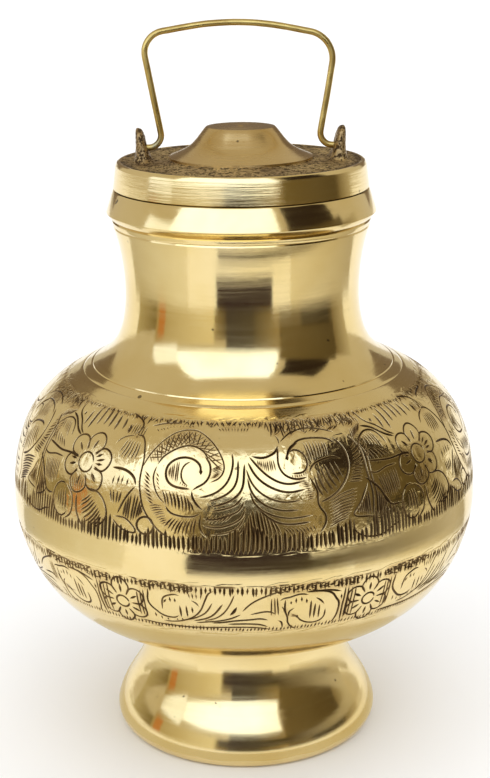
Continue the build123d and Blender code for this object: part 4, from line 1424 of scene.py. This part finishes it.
def make_world():
    """White to the camera; in reflections a pale wall low down under a dimmer, warmer ceiling."""
    world = bpy.data.worlds.new("studio")
    bpy.context.scene.world = world
    world.use_nodes = True
    tree = world.node_tree
    tree.nodes.clear()
    output = add_node(tree, "OutputWorld")
    up = add_node(tree, "SeparateXYZ", {0: add_node(tree, "TexCoord").outputs["Generated"]}).outputs[2]
    room = mixed(tree, stepped(tree, up, 0.10, 0.75), (0.62, 0.57, 0.47, 1), (0.60, 0.54, 0.42, 1))
    seen = add_node(tree, "Background", {"Color": (1, 1, 1, 1), "Strength": 1.0})
    plain = add_node(tree, "Background", {"Color": (0.62, 0.62, 0.62, 1), "Strength": 1.0})
    around = add_node(tree, "Background", {"Color": room, "Strength": 1.0})
    path = add_node(tree, "LightPath")
    shiny = path.outputs["Is Glossy Ray"]
    first = add_node(tree, "MixShader", {0: shiny, 1: plain.outputs[0], 2: around.outputs[0]})
    camera_ray = path.outputs["Is Camera Ray"]
    choice = add_node(tree, "MixShader", {0: camera_ray, 1: first.outputs[0], 2: seen.outputs[0]})
    tree.links.new(choice.outputs[0], output.inputs["Surface"])


def soft_sun(name, azimuth, elevation, strength):
    """A very wide, soft light that reaches the whole floor evenly."""
    light = bpy.data.lights.new(name, "SUN")
    light.energy = strength
    light.angle = math.radians(SUN_SPREAD)
    made = bpy.data.objects.new(name, light)
    made.rotation_euler = (math.radians(90 - elevation), 0, math.radians(azimuth))
    made.visible_glossy = False
    bpy.context.scene.collection.objects.link(made)


make_world()
soft_sun("key", -35, 52, 1.1)
soft_sun("fill", 50, 48, 0.7)
soft_sun("back", 170, 55, 0.7)

dome_card("window", (-62, 32), (15, 60), (0.70, 0.79, 1.0), 2.4)
dome_card("window_left", (-88, -62), (9, 30), (0.75, 0.82, 1.0), 1.7)
dome_card("wall_left", (-88, -26), (-13, 9), (0.42, 0.34, 0.17), far_colour=(0.86, 0.79, 0.58))
dome_card("orange_cloth", (-85, -77), (-12, 3), (0.55, 0.24, 0.07), reach=0.44)
dome_card("shade_left", (-116, -88), (-13, 0), (0.50, 0.44, 0.28), far_colour=(0.22, 0.17, 0.07))
dome_card("camera_shade", (-15, 10), (-13, 17), (0.07, 0.06, 0.055), far_colour=(0.10, 0.085, 0.06))
dome_card("shade_beside", (-26, -15), (-13, 5), (0.34, 0.28, 0.15), far_colour=(0.13, 0.10, 0.06))
dome_card("front_right", (10, 34), (-13, 14), (0.12, 0.10, 0.06), far_colour=(0.36, 0.29, 0.16))
dome_card("room_right", (34, 93), (-13, 26), (0.18, 0.14, 0.07), far_colour=(0.10, 0.075, 0.035))
dome_card("room_far_right", (93, 112), (-13, 20), (0.22, 0.17, 0.09), far_colour=(0.55, 0.50, 0.38))
dome_card("dark_doorway", (40, 86), (26, 54), (0.03, 0.02, 0.014))
dome_card("dark_low_right", (56, 89), (-12, -4), (0.04, 0.03, 0.015), reach=0.44)
dome_card("back_wall", (140, 220), (8, 30), (0.22, 0.17, 0.12))
floor_card("dark_mat", (-24, 28), 0.24, 0.46, (0.035, 0.022, 0.03))
floor_card("table_left", (-52, -125), 0.15, 0.46, (0.95, 0.93, 0.86), far_colour=(0.58, 0.54, 0.43))
floor_card("table_right", (46, 125), 0.15, 0.46, (0.90, 0.86, 0.76), far_colour=(0.50, 0.45, 0.34))
# painted shadow: a darker ring of floor round the foot, seen only in reflections, stands in for the pot's
# contact shadow
floor_card("painted_contact_shadow", (0, 360), 0.0345, 0.056, (0.68, 0.62, 0.48))
upright_card("hand", (-22, 32), 0.135, (0.021, 0.040), (0.035, 0.022, 0.03), far_colour=(0.06, 0.05, 0.03))
upright_card("sleeve", (32, 105), 0.135, (0.020, 0.041), (0.10, 0.08, 0.05), far_colour=(0.60, 0.56, 0.48))

bpy.context.scene.view_settings.view_transform = "Standard"
bpy.context.scene.view_settings.look = "None"

camera_data = bpy.data.cameras.new("camera")
camera = bpy.data.objects.new("camera", camera_data)
bpy.context.scene.collection.objects.link(camera)
bpy.context.scene.camera = camera
camera_data.sensor_width = SENSOR_WIDTH
camera_data.lens = SENSOR_WIDTH * FOCAL_PIXELS / PICTURE_HEIGHT
turn = math.radians(VIEW_TURN)
camera.location = (-CAMERA_REACH * math.sin(turn), -CAMERA_REACH * math.cos(turn), CAMERA_HEIGHT)
camera.rotation_mode = "XYZ"
pitch, roll, yaw = (math.radians(angle) for angle in (90 - VIEW_PITCH, VIEW_ROLL, VIEW_YAW))
camera.rotation_euler = (pitch, roll, -turn - yaw)
camera_data.clip_start = 0.01
